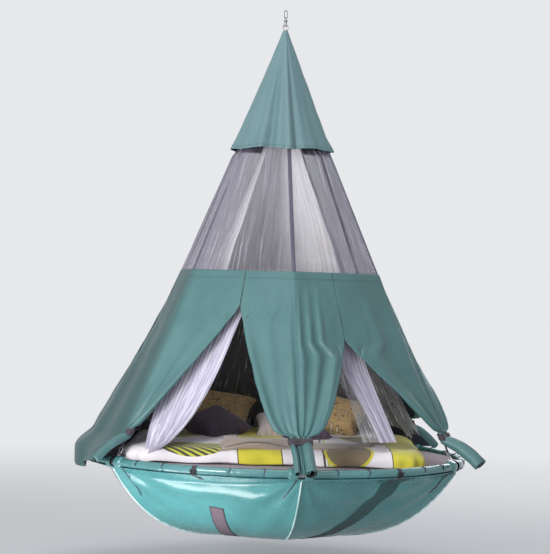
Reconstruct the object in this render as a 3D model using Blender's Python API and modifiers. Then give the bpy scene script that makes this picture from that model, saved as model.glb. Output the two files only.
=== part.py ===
"""Hanging tent: a round bed frame slung on six straps under a tent of canvas and clear film.

Metres, +Z up. The origin is the hanging point, inside the top of the webbing sling.
Angles run from the front corner, turning towards the right as seen from the front.
"""
import math

import bmesh
import bpy
from mathutils import Matrix, Vector
from mathutils.bvhtree import BVHTree

# Fits
FIT = 0.0003                # gap left between pieces that touch
RUN = 0.0010                # running clearance of the swivel and the pins
WELD = 0.0005               # how far two shapes of one piece run into each other

# Bed ring and suspension
RING_R = 1.25               # centreline of the ring tube
STRAP_RISE = 2.757          # ring's plane up to where the straps' lines meet
PEAK_DROP = 0.223           # hanging point down to where the straps' lines meet
RING_DROP = STRAP_RISE + PEAK_DROP
CORNERS = 6
CORNER_TURN = math.radians(7.8)
TUBE_R = 0.025              # ring tube with its sleeve
TUBE_END_GAP = 0.0015       # half the gap between two tubes inside a collar
COLLAR_ROOM = 0.0004        # between a tube and the collar round it
COLLAR_WALL = 0.005
COLLAR_HALF = math.radians(3.0)
COLLAR_SIDES = 12
STRAP_W = 0.025
STRAP_T = 0.0025
CROWN_HALF = 0.0235         # crown's middle to each of its flat sides
CROWN_TOP = 0.012           # crown's top face below the point where the straps' lines meet
CROWN_H = 0.065
CROWN_LOOP_W = 0.012
CROWN_LOOP_RUN = 0.0009     # room between the yoke's bar and the loop, for the sway
CROWN_LOOP_LIFT = 0.0010    # clears the yoke's bar where the loop bends over it
SEWN = 0.004                # how deep a sewn end runs into what it is sewn to

# Corner fittings
LUG_REACH = 0.055           # ring centreline to the lug's hole, along the strap
LUG_T = 0.006
LUG_HOLE_R = 0.0055
LINK_WIRE_R = 0.003
LINK_LENGTH = 0.042
LINK_HALF_W = 0.0185
LINK_BEND = 0.006
LUG_WALL = 0.006            # metal round the lug's hole
LUG_ROOT = 0.016            # half the lug's width where it is welded to the collar
EYE_TAIL = 0.085            # webbing folded back and sewn at a strap's eye
EYE_CLOSE = 0.018           # link's bar up to where the folded webbing meets the strap

# Top hardware
SLING_W = 0.012
SLING_T = 0.004
SLING_LENGTH = 0.048        # inside height of the sling's loop
SLING_HALF = 0.008
BOW_WIRE_R = 0.0038
BOW_HALF_W = 0.0125
BOW_LENGTH = 0.030
BOW_EYE_R = 0.0073
BOW_EYE_W = 0.0086
PIN_R = 0.0038
PIN_HEAD_R = 0.0063
PIN_HEAD_H = 0.005
PIN_TIP = 0.003             # pin's end, proud of the bow
SWIVEL_EYE_R = 0.0075
SWIVEL_WIRE_R = 0.0028
SWIVEL_BODY_R = 0.009
SWIVEL_BODY_H = 0.012
STEM_R = 0.0045
STEM_HEAD_R = 0.0075
STEM_HEAD_H = 0.005
YOKE_HALF_W = 0.0155
YOKE_LENGTH = 0.042
YOKE_WIRE_R = 0.0038
YOKE_PLATE_T = 0.006

# Canvas, film and net, heights above the ring's plane
HAT_TOP = STRAP_RISE + 0.088
HAT_HEM = 0.738 * STRAP_RISE
HAT_MOUTH_R = 0.024
HAT_FOLD = 0.035            # depth of the hem's folds, as a share of the corner radius
WINDOW_TOP = 0.7254 * STRAP_RISE
CANVAS_TOP = 0.4443 * STRAP_RISE
SEAM_GAP = 0.006            # canvas's top edge to the film's lower edge
FILM_T = 0.0020
CLOTH_T = 0.0030
SIDE_BULGE = 0.054          # how far a side bows out, as a share of the corner radius
HEM_BULGE = 0.155
HEM_Z = -0.070
TIE_Z = 0.190               # middle of the ties
KNEE_Z = 0.158              # where the drawn cloth bends out over the ring
PANEL_ROWS = 12
GATHER_ROW = 8              # row of a panel's grid at the top of its tie
KNEE_ROW = 9                # row at the bend below the tie
TAIL_R = RING_R + 0.18
TAIL_Z = 0.012
TAIL_ARCH = 0.025           # how far a tail arches over the ring
BUNDLE_HALF_W = 0.078
PLEAT = 0.013
HANG_OUT = 0.045            # hem of a closed side, out from the ring's centreline
HANG_CLEAR = 0.060          # height below which a closed side hangs outside the ring
HANG_SPREAD = 1.6           # how soon a closed side leaves its corner's line
CLOTH_OFF = 0.0134          # cloth's stand-off outside the straps
FILM_OFF = 0.0129

# Open sides by their corner: top of the door as a share of the canvas's height, and the share of
# the side's width that the panel on its left covers
DOORS = {0: (0.653, 0.39), 1: (0.735, 0.50), 5: (0.816, 0.56)}

TIE_W = 0.045
TIE_T = 0.003
TIE_ROOM = 0.008            # room between a bundle and its tie
TIE_DEPTH = 0.032           # a tie's front, out from the cloth's middle line
TIE_BEND = 0.016
TIE_LAP = 0.0012            # room between a tie's sewn end and the cloth

NET_NECK = 0.816 * STRAP_RISE   # where the net is gathered
NET_NECK_R = 0.008
NET_HEM = 0.175
NET_FOOT_R = 0.7584 * RING_R
NET_T = 0.0020
NET_PLEATS = 10
NET_ROWS = 7
NET_SWEEP = math.radians(248.0)
NET_START = math.radians(-4.0)  # net's right edge, from the right corner
NET_FOLD = 0.022            # depth of the net's folds, as a share of its radius

# Hull and bed
HULL_DEPTH = 0.506
HULL_T = 0.004
HULL_POWER = 4.1            # how long the hull stays flat before it rises to the ring
HULL_FLAT = 0.9             # how near a gore is to a flat cloth between its seams
HULL_EASE = 1.3             # gore's rows lie closer together near the ring
HULL_SEAT = 0.0016          # hull's top edge outside the collars
HULL_SPIN = math.radians(50.0)
HULL_GAP = 0.0015           # half the gap between two gores
HULL_COLUMNS = 7
PATCH_R = 0.11              # radius at which the gores end at the pole
PATCH_LAP = 0.03            # how far the patch laps the gores
DECK_T = 0.004
BED_W = 1.44 * RING_R
BED_D = 1.20 * RING_R
BED_H = 0.105
BED_CORNER = 0.128 * RING_R
DUVET_T = 0.034
DUVET_EDGE = 0.35           # duvet's thickness at its edge, as a share of its middle
DUVET_WAVE = 0.18           # height of the duvet's waves, as a share of its thickness
DUVET_CORNER = 0.045        # how far its corners draw in, as a share of its half width
CUSHION_W = 0.46            # largest cushion
CUSHION_T = 0.16
CUSHION_SEAM = 0.10         # a cushion's thickness at its seam, as a share of its middle
CUSHION_WAIST = 0.07        # how far a cushion's sides draw in, as a share of its half width

CORNER_ANGLE = 2 * math.pi / CORNERS
COLLAR_HALF_WALL = COLLAR_WALL / 2.0 / math.cos(math.pi / COLLAR_SIDES)
COLLAR_MID = TUBE_R + COLLAR_ROOM + COLLAR_HALF_WALL
COLLAR_R = COLLAR_MID + COLLAR_HALF_WALL
GATHER_Z = TIE_Z + TIE_W / 2.0 + TIE_ROOM
GATHER_V = GATHER_ROW / PANEL_ROWS
KNEE_V = KNEE_ROW / PANEL_ROWS
EDGE_GAP = 0.0006           # half the gap between two panels where they meet
STRAP_DIR = Vector((0.0, RING_R, STRAP_RISE)).normalized()
STRAP_OUT = Vector((0.0, -STRAP_RISE, RING_R)).normalized()
TIE_HALF_W = BUNDLE_HALF_W * math.sin(CORNER_ANGLE) + TIE_ROOM


def strap_radius(z):
    """Radius of the straps' lines at a height above the ring's plane."""
    return RING_R * (1.0 - z / STRAP_RISE)


# A tie's tab lies behind its strap, half a millimetre into the webbing it is sewn to
EYE_WRAP_R = LINK_WIRE_R + FIT + STRAP_T / 2.0
TAB_Y = -strap_radius(TIE_Z) + (EYE_WRAP_R - STRAP_T / 2.0 - TIE_T / 2.0 + WELD) / STRAP_OUT.y


def smooth(t):
    t = min(1.0, max(0.0, t))
    return t * t * (3.0 - 2.0 * t)


def lerp(a, b, t):
    return a + (b - a) * t


# Scene and materials

def clear_scene():
    for obj in list(bpy.data.objects):
        bpy.data.objects.remove(obj, do_unlink=True)


def material(name, colour, roughness, metallic=0.0, alpha=1.0):
    mat = bpy.data.materials.new(name)
    mat.use_nodes = True
    shader = mat.node_tree.nodes["Principled BSDF"]
    shader.inputs["Base Color"].default_value = (*colour, 1.0)
    shader.inputs["Roughness"].default_value = roughness
    shader.inputs["Metallic"].default_value = metallic
    shader.inputs["Alpha"].default_value = alpha
    mat.diffuse_color = (*colour, alpha)
    return mat


clear_scene()
TENT = bpy.data.collections.new("hanging_tent")
bpy.context.scene.collection.children.link(TENT)

CANVAS = material("canvas", (0.12, 0.26, 0.28), 0.8)
HULL_CLOTH = material("coated_cloth", (0.13, 0.44, 0.45), 0.35)
WEBBING = material("webbing", (0.10, 0.08, 0.14), 0.8)
STEEL = material("steel", (0.62, 0.62, 0.64), 0.3, 1.0)
SLEEVE = material("sleeve", (0.11, 0.30, 0.31), 0.6)
FILM = material("clear_film", (0.80, 0.78, 0.88), 0.1, 0.0, 0.3)
NET_CLOTH = material("net_cloth", (0.68, 0.64, 0.82), 0.8, 0.0, 0.6)
DECK_CLOTH = material("deck_cloth", (0.30, 0.22, 0.28), 0.8)
FOAM = material("foam_cover", (0.70, 0.68, 0.70), 0.9)
QUILT = material("quilt", (0.80, 0.78, 0.66), 0.9)
TAN = material("tan_cushion", (0.50, 0.33, 0.14), 0.9)
MAUVE = material("mauve_cushion", (0.08, 0.05, 0.09), 0.9)
BEIGE = material("beige_cushion", (0.56, 0.48, 0.48), 0.9)


def finish(name, bm, mat, matrix=None, crease=35.0):
    """Turn a bmesh into a named object in the tent's collection."""
    mesh = bpy.data.meshes.new(name)
    bm.to_mesh(mesh)
    bm.free()
    mesh.materials.append(mat)
    mesh.shade_smooth()
    mesh.set_sharp_from_angle(angle=math.radians(crease))
    obj = bpy.data.objects.new(name, mesh)
    TENT.objects.link(obj)
    if matrix is not None:
        obj.matrix_world = matrix
    return obj


def ring_frame(angle=0.0):
    """Frame at the ring's centre, turned so that its -Y runs to the given angle."""
    return Matrix.Translation((0.0, 0.0, -RING_DROP)) @ Matrix.Rotation(angle, 4, "Z")


def corner_angle(k):
    return CORNER_TURN + k * CORNER_ANGLE


def sheet(name, place, columns, rows, thickness, mat, matrix=None, wrap=False):
    """A cloth-like solid: a grid whose points are placed by place(u, v), given a thickness."""
    bm = bmesh.new()
    bmesh.ops.create_grid(bm, x_segments=columns, y_segments=rows, size=1.0)
    for vert in bm.verts:
        vert.co = place((vert.co.x + 1.0) / 2.0, (vert.co.y + 1.0) / 2.0)
    if wrap:
        bmesh.ops.remove_doubles(bm, verts=bm.verts, dist=0.00001)
    obj = finish(name, bm, mat, matrix)
    wall = obj.modifiers.new("wall", "SOLIDIFY")
    wall.thickness = thickness
    wall.offset = 0.0
    wall.use_even_offset = True
    return obj


def plate(name, outline, width, mat, matrix=None, along=Vector((1.0, 0.0, 0.0))):
    """A flat outline of 3-D points, made a solid of the given width, centred on the outline."""
    bm = bmesh.new()
    start = [bm.verts.new(Vector(p) - along * width / 2.0) for p in outline]
    face = bm.faces.new(start)
    grown = bmesh.ops.extrude_face_region(bm, geom=[face])["geom"]
    moved = [item for item in grown if isinstance(item, bmesh.types.BMVert)]
    bmesh.ops.translate(bm, verts=moved, vec=along * width)
    bmesh.ops.recalc_face_normals(bm, faces=bm.faces)
    return finish(name, bm, mat, matrix)


def ribbon_outline(path, thickness, out_of):
    """Both sides of a strip of webbing that follows a flat path; out_of is the path's plane normal."""
    left = []
    right = []
    for i, point in enumerate(path):
        before = path[max(i - 1, 0)]
        after = path[min(i + 1, len(path) - 1)]
        a = (point - before).normalized() if i > 0 else (after - point).normalized()
        b = (after - point).normalized() if i < len(path) - 1 else a
        side = (a + b).normalized().cross(out_of).normalized()
        reach = thickness / 2.0 / max(0.5, side.dot(a.cross(out_of).normalized()))
        left.append(point + side * reach)
        right.append(point - side * reach)
    return left + right[::-1]


def wire(name, points, radius, mat, matrix=None, closed=False, sides=2):
    """A bent wire or tube along the given points."""
    curve = bpy.data.curves.new(name, "CURVE")
    curve.dimensions = "3D"
    curve.bevel_depth = radius
    curve.bevel_resolution = sides
    curve.use_fill_caps = not closed
    curve.resolution_u = 1
    curve.render_resolution_u = 0
    spline = curve.splines.new("POLY")
    spline.points.add(len(points) - 1)
    for target, point in zip(spline.points, points):
        target.co = (*point, 1.0)
    spline.use_cyclic_u = closed
    curve.materials.append(mat)
    obj = bpy.data.objects.new(name, curve)
    TENT.objects.link(obj)
    if matrix is not None:
        obj.matrix_world = matrix
    return obj


def to_mesh(obj):
    """Replace a curve object, or an object with modifiers, by its welded mesh."""
    bpy.context.view_layer.update()
    evaluated = obj.evaluated_get(bpy.context.evaluated_depsgraph_get())
    mesh = bpy.data.meshes.new_from_object(evaluated)
    bm = bmesh.new()
    bm.from_mesh(mesh)
    bmesh.ops.remove_doubles(bm, verts=bm.verts, dist=0.000002)
    bmesh.ops.recalc_face_normals(bm, faces=bm.faces)
    bm.to_mesh(mesh)
    bm.free()
    name = obj.name
    matrix = obj.matrix_world.copy()
    bpy.data.objects.remove(obj, do_unlink=True)
    solid = bpy.data.objects.new(name, mesh)
    solid.matrix_world = matrix
    TENT.objects.link(solid)
    return solid


def combine(base, others, operation):
    """Join solids to a base, or cut them from it, and keep one mesh."""
    for other in others:
        step = base.modifiers.new(operation.lower(), "BOOLEAN")
        step.operation = operation
        step.object = other
        step.solver = "EXACT"
    name = base.name
    result = to_mesh(base)
    for other in others:
        bpy.data.objects.remove(other, do_unlink=True)
    result.name = name
    return result


def cylinder(name, radius, depth, mat, matrix, segments=20):
    bm = bmesh.new()
    bmesh.ops.create_cone(
        bm, cap_ends=True, segments=segments, radius1=radius, radius2=radius, depth=depth
    )
    return finish(name, bm, mat, matrix)


def turned(name, profile, mat, matrix, steps=20):
    """A turned solid; the profile runs down its outer side from the axis to the axis."""
    bm = bmesh.new()
    points = [bm.verts.new((r, 0.0, z)) for r, z in profile]
    for a, b in zip(points, points[1:]):
        bm.edges.new((a, b))
    obj = finish(name, bm, mat, matrix)
    spin = obj.modifiers.new("turn", "SCREW")
    spin.steps = steps
    spin.render_steps = steps
    spin.use_merge_vertices = True
    spin.merge_threshold = 0.00001
    return obj


def arc_points(centre, across, up, radius, start, end, count):
    """Points on an arc in the plane of two unit vectors, by angles from the first."""
    return [
        centre + across * radius * math.cos(lerp(start, end, i / count))
        + up * radius * math.sin(lerp(start, end, i / count))
        for i in range(count + 1)
    ]


X = Vector((1.0, 0.0, 0.0))
Y = Vector((0.0, 1.0, 0.0))
Z = Vector((0.0, 0.0, 1.0))
SIDEWAYS = Matrix.Rotation(math.pi / 2, 4, "Y")


# Top hardware

SLING_BOTTOM = -SLING_LENGTH
BOW_DIP = BOW_HALF_W - math.sqrt(BOW_HALF_W ** 2 - (SLING_W / 2.0) ** 2)
BOW_TOP = SLING_BOTTOM + BOW_WIRE_R + 2 * FIT + 1.3 * BOW_DIP
PIN_Z = BOW_TOP - BOW_LENGTH


def make_sling():
    """Loop of webbing that goes over whatever carries the tent."""
    mid = SLING_T / 2.0
    r = SLING_HALF + mid
    top = Vector((0.0, 0.0, mid - r))
    low = Vector((0.0, 0.0, SLING_BOTTOM - mid + r))
    ring = arc_points(top, X, Z, r, 0.0, math.pi, 10)
    ring += arc_points(low, X, Z, r, math.pi, 2 * math.pi, 10)
    bm = bmesh.new()
    inner = []
    outer = []
    for i, point in enumerate(ring):
        centre = top if i <= 10 else low
        away = (point - centre).normalized()
        inner.append(point - away * mid)
        outer.append(point + away * mid)
    rows = []
    for line, side in ((inner, -1), (outer, -1), (outer, 1), (inner, 1)):
        rows.append([bm.verts.new(p + Y * side * SLING_W / 2.0) for p in line])
    for a in range(4):
        here = rows[a]
        there = rows[(a + 1) % 4]
        for i in range(len(ring)):
            j = (i + 1) % len(ring)
            bm.faces.new((here[i], here[j], there[j], there[i]))
    bmesh.ops.recalc_face_normals(bm, faces=bm.faces)
    finish("hang_sling", bm, WEBBING)


def make_shackle():
    """Bow through the sling's foot, and the pin across the bow's two eyes."""
    crown = Vector((0.0, 0.0, BOW_TOP - BOW_HALF_W))
    path = [Vector((0.0, BOW_HALF_W, PIN_Z))]
    path += arc_points(crown, Y, Z, BOW_HALF_W, 0.0, math.pi, 10)
    path += [Vector((0.0, -BOW_HALF_W, PIN_Z))]
    bow = to_mesh(wire("top_shackle_bow", path, BOW_WIRE_R, STEEL))
    eyes = []
    holes = []
    turn = Matrix.Rotation(math.pi / 2, 4, "X")
    for side in (-1, 1):
        spot = Matrix.Translation((0.0, side * BOW_HALF_W, PIN_Z)) @ turn
        eyes.append(cylinder(f"eye{side}", BOW_EYE_R, BOW_EYE_W, STEEL, spot, 16))
        holes.append(cylinder(f"hole{side}", PIN_R + FIT, 2 * BOW_EYE_W, STEEL, spot, 16))
    bow = combine(bow, eyes, "UNION")
    combine(bow, holes, "DIFFERENCE")
    half = BOW_HALF_W + BOW_EYE_W / 2.0
    profile = [
        (0.0, half + PIN_HEAD_H),
        (PIN_HEAD_R, half + PIN_HEAD_H),
        (PIN_HEAD_R, half + FIT),
        (PIN_R, half + FIT),
        (PIN_R, -half - PIN_TIP),
        (0.0, -half - PIN_TIP),
    ]
    turned("top_shackle_pin", profile, STEEL, Matrix.Translation((0.0, 0.0, PIN_Z)) @ turn, 16)


SWIVEL_TOP = PIN_Z - PIN_R - FIT - 2 * SWIVEL_WIRE_R
PLATE_TOP = SWIVEL_TOP - SWIVEL_BODY_H - RUN
YOKE_FOOT = PLATE_TOP - YOKE_LENGTH


def make_swivel():
    """Eye and stem above, yoke below: the yoke turns on the stem's head."""
    eye_z = PIN_Z - PIN_R - FIT + SWIVEL_EYE_R
    centre = Vector((0.0, 0.0, eye_z))
    ring_r = SWIVEL_EYE_R + SWIVEL_WIRE_R
    loop = arc_points(centre, X, Z, ring_r, 0.0, 2 * math.pi, 16)[:-1]
    eye = to_mesh(wire("swivel_upper", loop, SWIVEL_WIRE_R, STEEL, closed=True))
    body_top = eye_z - ring_r + WELD
    head_top = PLATE_TOP - YOKE_PLATE_T - RUN
    profile = [
        (0.0, body_top),
        (SWIVEL_BODY_R * 0.7, body_top),
        (SWIVEL_BODY_R, body_top - 0.2 * SWIVEL_BODY_R),
        (SWIVEL_BODY_R, PLATE_TOP + RUN),
        (STEM_R, PLATE_TOP + RUN),
        (STEM_R, head_top),
        (STEM_HEAD_R, head_top),
        (STEM_HEAD_R, head_top - STEM_HEAD_H),
        (0.0, head_top - STEM_HEAD_H),
    ]
    body = to_mesh(turned("swivel_stem", profile, STEEL, Matrix.Identity(4), 16))
    combine(eye, [body], "UNION")
    washer = [
        (STEM_R + RUN, PLATE_TOP),
        (YOKE_HALF_W, PLATE_TOP),
        (YOKE_HALF_W, PLATE_TOP - YOKE_PLATE_T),
        (STEM_R + RUN, PLATE_TOP - YOKE_PLATE_T),
        (STEM_R + RUN, PLATE_TOP),
    ]
    cap = to_mesh(turned("yoke_plate", washer, STEEL, Matrix.Identity(4), 20))
    low = Vector((0.0, 0.0, YOKE_FOOT + YOKE_HALF_W))
    root = YOKE_WIRE_R / 2.0
    path = [Vector((YOKE_HALF_W - root, 0.0, PLATE_TOP - root))]
    path += [Vector((YOKE_HALF_W, 0.0, low.z + YOKE_WIRE_R))]
    path += arc_points(low, X, Z, YOKE_HALF_W, 0.0, -math.pi, 12)
    path += [Vector((-YOKE_HALF_W, 0.0, low.z + YOKE_WIRE_R))]
    path += [Vector((-YOKE_HALF_W + root, 0.0, PLATE_TOP - root))]
    bow = to_mesh(wire("swivel_lower", path, YOKE_WIRE_R, STEEL))
    combine(bow, [cap], "UNION")


def make_crown():
    """Sewn block of webbing that gathers the six straps and loops over the yoke."""
    block_high = -(RING_DROP - STRAP_RISE) - CROWN_TOP
    block_low = block_high - CROWN_H
    radius = CROWN_HALF / math.cos(CORNER_ANGLE / 2)
    bm = bmesh.new()
    bmesh.ops.create_cone(
        bm,
        cap_ends=True,
        segments=CORNERS,
        radius1=radius,
        radius2=radius,
        depth=block_high - block_low,
    )
    spot = Matrix.Translation((0.0, 0.0, (block_low + block_high) / 2.0))
    spot = spot @ Matrix.Rotation(CORNER_TURN + CORNER_ANGLE / 2, 4, "Z")
    block = finish("strap_crown", bm, WEBBING, spot)
    r = YOKE_WIRE_R + CROWN_LOOP_RUN + STRAP_T / 2.0
    centre = Vector((0.0, 0.0, YOKE_FOOT + CROWN_LOOP_LIFT))
    path = [Vector((0.0, -r, block_high - SEWN)), Vector((0.0, -r, YOKE_FOOT))]
    path += arc_points(centre, -Y, Z, r, 0.0, math.pi, 8)[1:-1]
    path += [Vector((0.0, r, YOKE_FOOT)), Vector((0.0, r, block_high - SEWN))]
    outline = ribbon_outline(path, STRAP_T, X)
    loop = plate("crown_loop", outline, CROWN_LOOP_W, WEBBING)
    combine(block, [loop], "UNION")


# Straps, links and the ring, built at the front corner and repeated by turning

LINK_REACH = LUG_REACH + LUG_HOLE_R * math.cos(math.pi / 20) - LINK_WIRE_R - FIT
EYE_REACH = LINK_REACH + LINK_LENGTH


def on_strap(along, out=0.0):
    """Point on a strap's line, by its distance up from the ring's centreline."""
    return Vector((0.0, -RING_R, 0.0)) + STRAP_DIR * along + STRAP_OUT * out


def make_straps():
    r = EYE_WRAP_R
    eye = on_strap(EYE_REACH)
    start = CROWN_HALF + FIT + STRAP_OUT.y * (r - STRAP_T / 2.0)
    length = (RING_R - start) / RING_R * math.hypot(RING_R, STRAP_RISE)
    lap = r - STRAP_T - FIT
    path = [on_strap(length, r), on_strap(EYE_REACH, r)]
    path += arc_points(eye, STRAP_OUT, -STRAP_DIR, r, 0.0, math.pi, 8)[1:-1]
    path += [on_strap(EYE_REACH, -r), on_strap(EYE_REACH + EYE_CLOSE, lap)]
    path += [on_strap(EYE_REACH + EYE_TAIL, lap)]
    outline = ribbon_outline(path, STRAP_T, X)
    for k in range(CORNERS):
        frame = ring_frame(corner_angle(k))
        strap = plate(f"suspension_strap_{k}", outline, STRAP_W, WEBBING, frame)
        if k in DOORS and (k - 1) % CORNERS in DOORS:
            tab = plate(f"tie_tab_{k}", tie_tab_outline(), TIE_W, WEBBING, frame, STRAP_DIR)
            combine(strap, [tab], "UNION")


def tie_tab_outline():
    """Short webbing behind the drawn cloth, sewn across a strap, that carries a tie."""
    left = -TIE_HALF_W - TIE_T / 2.0
    right = STRAP_W / 2.0
    low = TAB_Y - TIE_T / 2.0
    high = TAB_Y + TIE_T / 2.0
    corners = ((left, low), (right, low), (right, high), (left, high))
    return [Vector((x, y, TIE_Z)) for x, y in corners]


def make_links():
    low = on_strap(LINK_REACH)
    high = on_strap(EYE_REACH)
    half = LINK_HALF_W
    bend = LINK_BEND
    path = []
    for centre, side, start in (
        (high - STRAP_DIR * bend + X * (half - bend), 1, 0.0),
        (high - STRAP_DIR * bend - X * (half - bend), 1, math.pi / 2),
        (low + STRAP_DIR * bend - X * (half - bend), 1, math.pi),
        (low + STRAP_DIR * bend + X * (half - bend), 1, 1.5 * math.pi),
    ):
        path += arc_points(centre, X, STRAP_DIR, bend, start, start + math.pi / 2, 2)
    for k in range(CORNERS):
        wire(f"corner_link_{k}", path, LINK_WIRE_R, STEEL, ring_frame(corner_angle(k)), closed=True)


def ring_point(angle, spin, radius):
    """Point on a tube round the ring: spin 0 is outwards, a quarter turn is up."""
    r = RING_R + radius * math.cos(spin)
    return Vector((r * math.sin(angle), -r * math.cos(angle), radius * math.sin(spin)))


def make_ring():
    ends = TUBE_END_GAP / RING_R
    steps = 10
    free = (CORNER_ANGLE - 2 * COLLAR_HALF) / steps
    angles = [ends] + [COLLAR_HALF + i * free for i in range(steps + 1)] + [CORNER_ANGLE - ends]
    points = [ring_point(angle, 0.0, 0.0) for angle in angles]
    for k in range(CORNERS):
        wire(f"ring_tube_{k}", points, TUBE_R, SLEEVE, ring_frame(corner_angle(k)), sides=4)

    def place(u, v):
        return ring_point(lerp(-COLLAR_HALF, COLLAR_HALF, v), -2 * math.pi * u, COLLAR_MID)

    collar = sheet("ring_joint_0", place, COLLAR_SIDES, 2, COLLAR_WALL, STEEL, wrap=True)
    collar = to_mesh(collar)
    hole = on_strap(LUG_REACH)
    lug_r = LUG_HOLE_R + LUG_WALL
    root = COLLAR_R - COLLAR_WALL / 2.0
    outline = [on_strap(root, -LUG_ROOT), on_strap(LUG_REACH, -lug_r)]
    outline += arc_points(hole, -STRAP_OUT, STRAP_DIR, lug_r, 0.0, math.pi, 8)[1:-1]
    outline += [on_strap(LUG_REACH, lug_r), on_strap(root, LUG_ROOT)]
    lug = plate("lug", outline, LUG_T, STEEL)
    bore = cylinder("lug_bore", LUG_HOLE_R, 4 * LUG_T, STEEL, Matrix.Translation(hole) @ SIDEWAYS)
    collar = combine(collar, [lug], "UNION")
    collar = combine(collar, [bore], "DIFFERENCE")
    collar.data.materials.clear()
    collar.data.materials.append(STEEL)
    collar.matrix_world = ring_frame(corner_angle(0))
    for k in range(1, CORNERS):
        copy = bpy.data.objects.new(f"ring_joint_{k}", collar.data)
        copy.matrix_world = ring_frame(corner_angle(k))
        TENT.objects.link(copy)


# Hull: six gores between the corners and a round patch where they meet

def hull_profile(v):
    """Radius and height down a seam, from the ring to the pole."""
    hang = COLLAR_R + HULL_SEAT
    top_r = RING_R + hang * math.cos(HULL_SPIN)
    top_z = -hang * math.sin(HULL_SPIN)
    z = top_z - (HULL_DEPTH + top_z) * (1.0 - (1.0 - v) ** HULL_POWER)
    return top_r * (1.0 - v), z


def make_hull():
    low = 1.0 - PATCH_R / hull_profile(0.0)[0]

    def place(u, v):
        r, z = hull_profile(low * (1.0 - v) ** HULL_EASE)
        column = round(u * HULL_COLUMNS)
        if column in (0, HULL_COLUMNS):
            angle = lerp(HULL_GAP / r, CORNER_ANGLE - HULL_GAP / r, u)
        else:
            inner = (column - 1) / (HULL_COLUMNS - 2)
            angle = lerp(COLLAR_HALF, CORNER_ANGLE - COLLAR_HALF, inner)
        if v < 1.0:
            chord = math.cos(CORNER_ANGLE / 2) / math.cos(angle - CORNER_ANGLE / 2)
            r *= lerp(1.0, chord, HULL_FLAT)
        return Vector((r * math.sin(angle), -r * math.cos(angle), z))

    for k in range(CORNERS):
        frame = ring_frame(corner_angle(k))
        sheet(f"hull_gore_{k}", place, HULL_COLUMNS, 8, HULL_T, HULL_CLOTH, frame)
    rim_r, rim_z = hull_profile(low)
    under = rim_z - HULL_T / 2.0 - 2 * FIT
    profile = [
        (0.0, under),
        (rim_r + PATCH_LAP, under),
        (rim_r + PATCH_LAP, under - HULL_T),
        (0.0, under - HULL_T),
    ]
    turned("hull_patch", profile, HULL_CLOTH, ring_frame(corner_angle(0)), 24)


# Canvas: one panel round each corner, parted at the doors and drawn to the corners

def side_point(radius, share, bulge):
    """Point on the tent's side right of the front corner: share 0 is the corner, 0.5 mid-side."""
    along = Vector((math.sin(CORNER_ANGLE), 1.0 - math.cos(CORNER_ANGLE), 0.0))
    outward = Vector((math.sin(CORNER_ANGLE / 2), -math.cos(CORNER_ANGLE / 2), 0.0))
    bow = bulge * radius * math.sin(math.pi * share)
    return Vector((0.0, -radius, 0.0)) + along * radius * share + outward * bow


def corner_path(v):
    """Radius and height of a panel's middle line, with the tail that runs out over the ring."""
    if v <= GATHER_V:
        z = lerp(CANVAS_TOP, GATHER_Z, v / GATHER_V)
        return strap_radius(z) + CLOTH_OFF, z
    if v <= KNEE_V:
        z = lerp(GATHER_Z, KNEE_Z, (v - GATHER_V) / (KNEE_V - GATHER_V))
        return strap_radius(z) + CLOTH_OFF, z
    t = (v - KNEE_V) / (1.0 - KNEE_V)
    z = lerp(KNEE_Z, TAIL_Z, t) + TAIL_ARCH * math.sin(math.pi * t)
    start = strap_radius(KNEE_Z) + CLOTH_OFF
    return lerp(start, TAIL_R, t ** 1.1), z


def gathered(share, v, apex, split):
    """A half panel that is drawn to its corner below the door's apex."""
    r, z = corner_path(v)
    if v > KNEE_V:
        width = BUNDLE_HALF_W * lerp(1.0, 0.9, (v - KNEE_V) / (1.0 - KNEE_V))
        gather = 1.0
    else:
        t = min(1.0, max(0.0, (z - GATHER_Z) / (apex - GATHER_Z)))
        full = split * strap_radius(max(z, apex)) - EDGE_GAP
        width = lerp(BUNDLE_HALF_W, full, t ** 0.6)
        gather = 1.0 - smooth(t)
    reach = share * width
    base = strap_radius(max(z, KNEE_Z)) + CLOTH_OFF
    point = side_point(base, reach / base, SIDE_BULGE * (1.0 - gather))
    point.y = lerp(point.y, -base, 0.8 * gather)
    point.y -= (r - base) + PLEAT * gather * (1.0 - math.cos(3.0 * math.pi * share))
    point.z = z
    return point


def hanging(share, v):
    """A half panel of a closed side, which hangs down outside the ring."""
    r, z = corner_path(v)
    drop = smooth(share * HANG_SPREAD)
    height = lerp(z, lerp(CANVAS_TOP, HEM_Z, v), drop)
    cone = strap_radius(max(height, 0.0)) + CLOTH_OFF
    if height < HANG_CLEAR:
        cone = max(cone, RING_R + HANG_OUT)
    bulge = lerp(SIDE_BULGE, HEM_BULGE, smooth((CANVAS_TOP - height) / CANVAS_TOP))
    reach = share * (0.5 * strap_radius(max(height, 0.0)) - EDGE_GAP)
    outer = lerp(r, cone, drop)
    point = side_point(outer, reach / outer, bulge)
    point.z = height
    return point


def make_canvas():
    for k in range(CORNERS):
        right = DOORS.get(k)
        left = DOORS.get((k - 1) % CORNERS)

        def place(u, v, right=right, left=left):
            share = abs(2.0 * u - 1.0)
            mirrored = u < 0.5
            down = 1.0 - v
            door = left if mirrored else right
            if door is None:
                point = hanging(share, down)
            else:
                split = 1.0 - door[1] if mirrored else door[1]
                point = gathered(share, down, door[0] * CANVAS_TOP, split)
            if mirrored:
                point.x = -point.x
            return point

        matrix = ring_frame(corner_angle(k))
        sheet(f"canvas_panel_{k}", place, 14, PANEL_ROWS, CLOTH_T, CANVAS, matrix)


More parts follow.
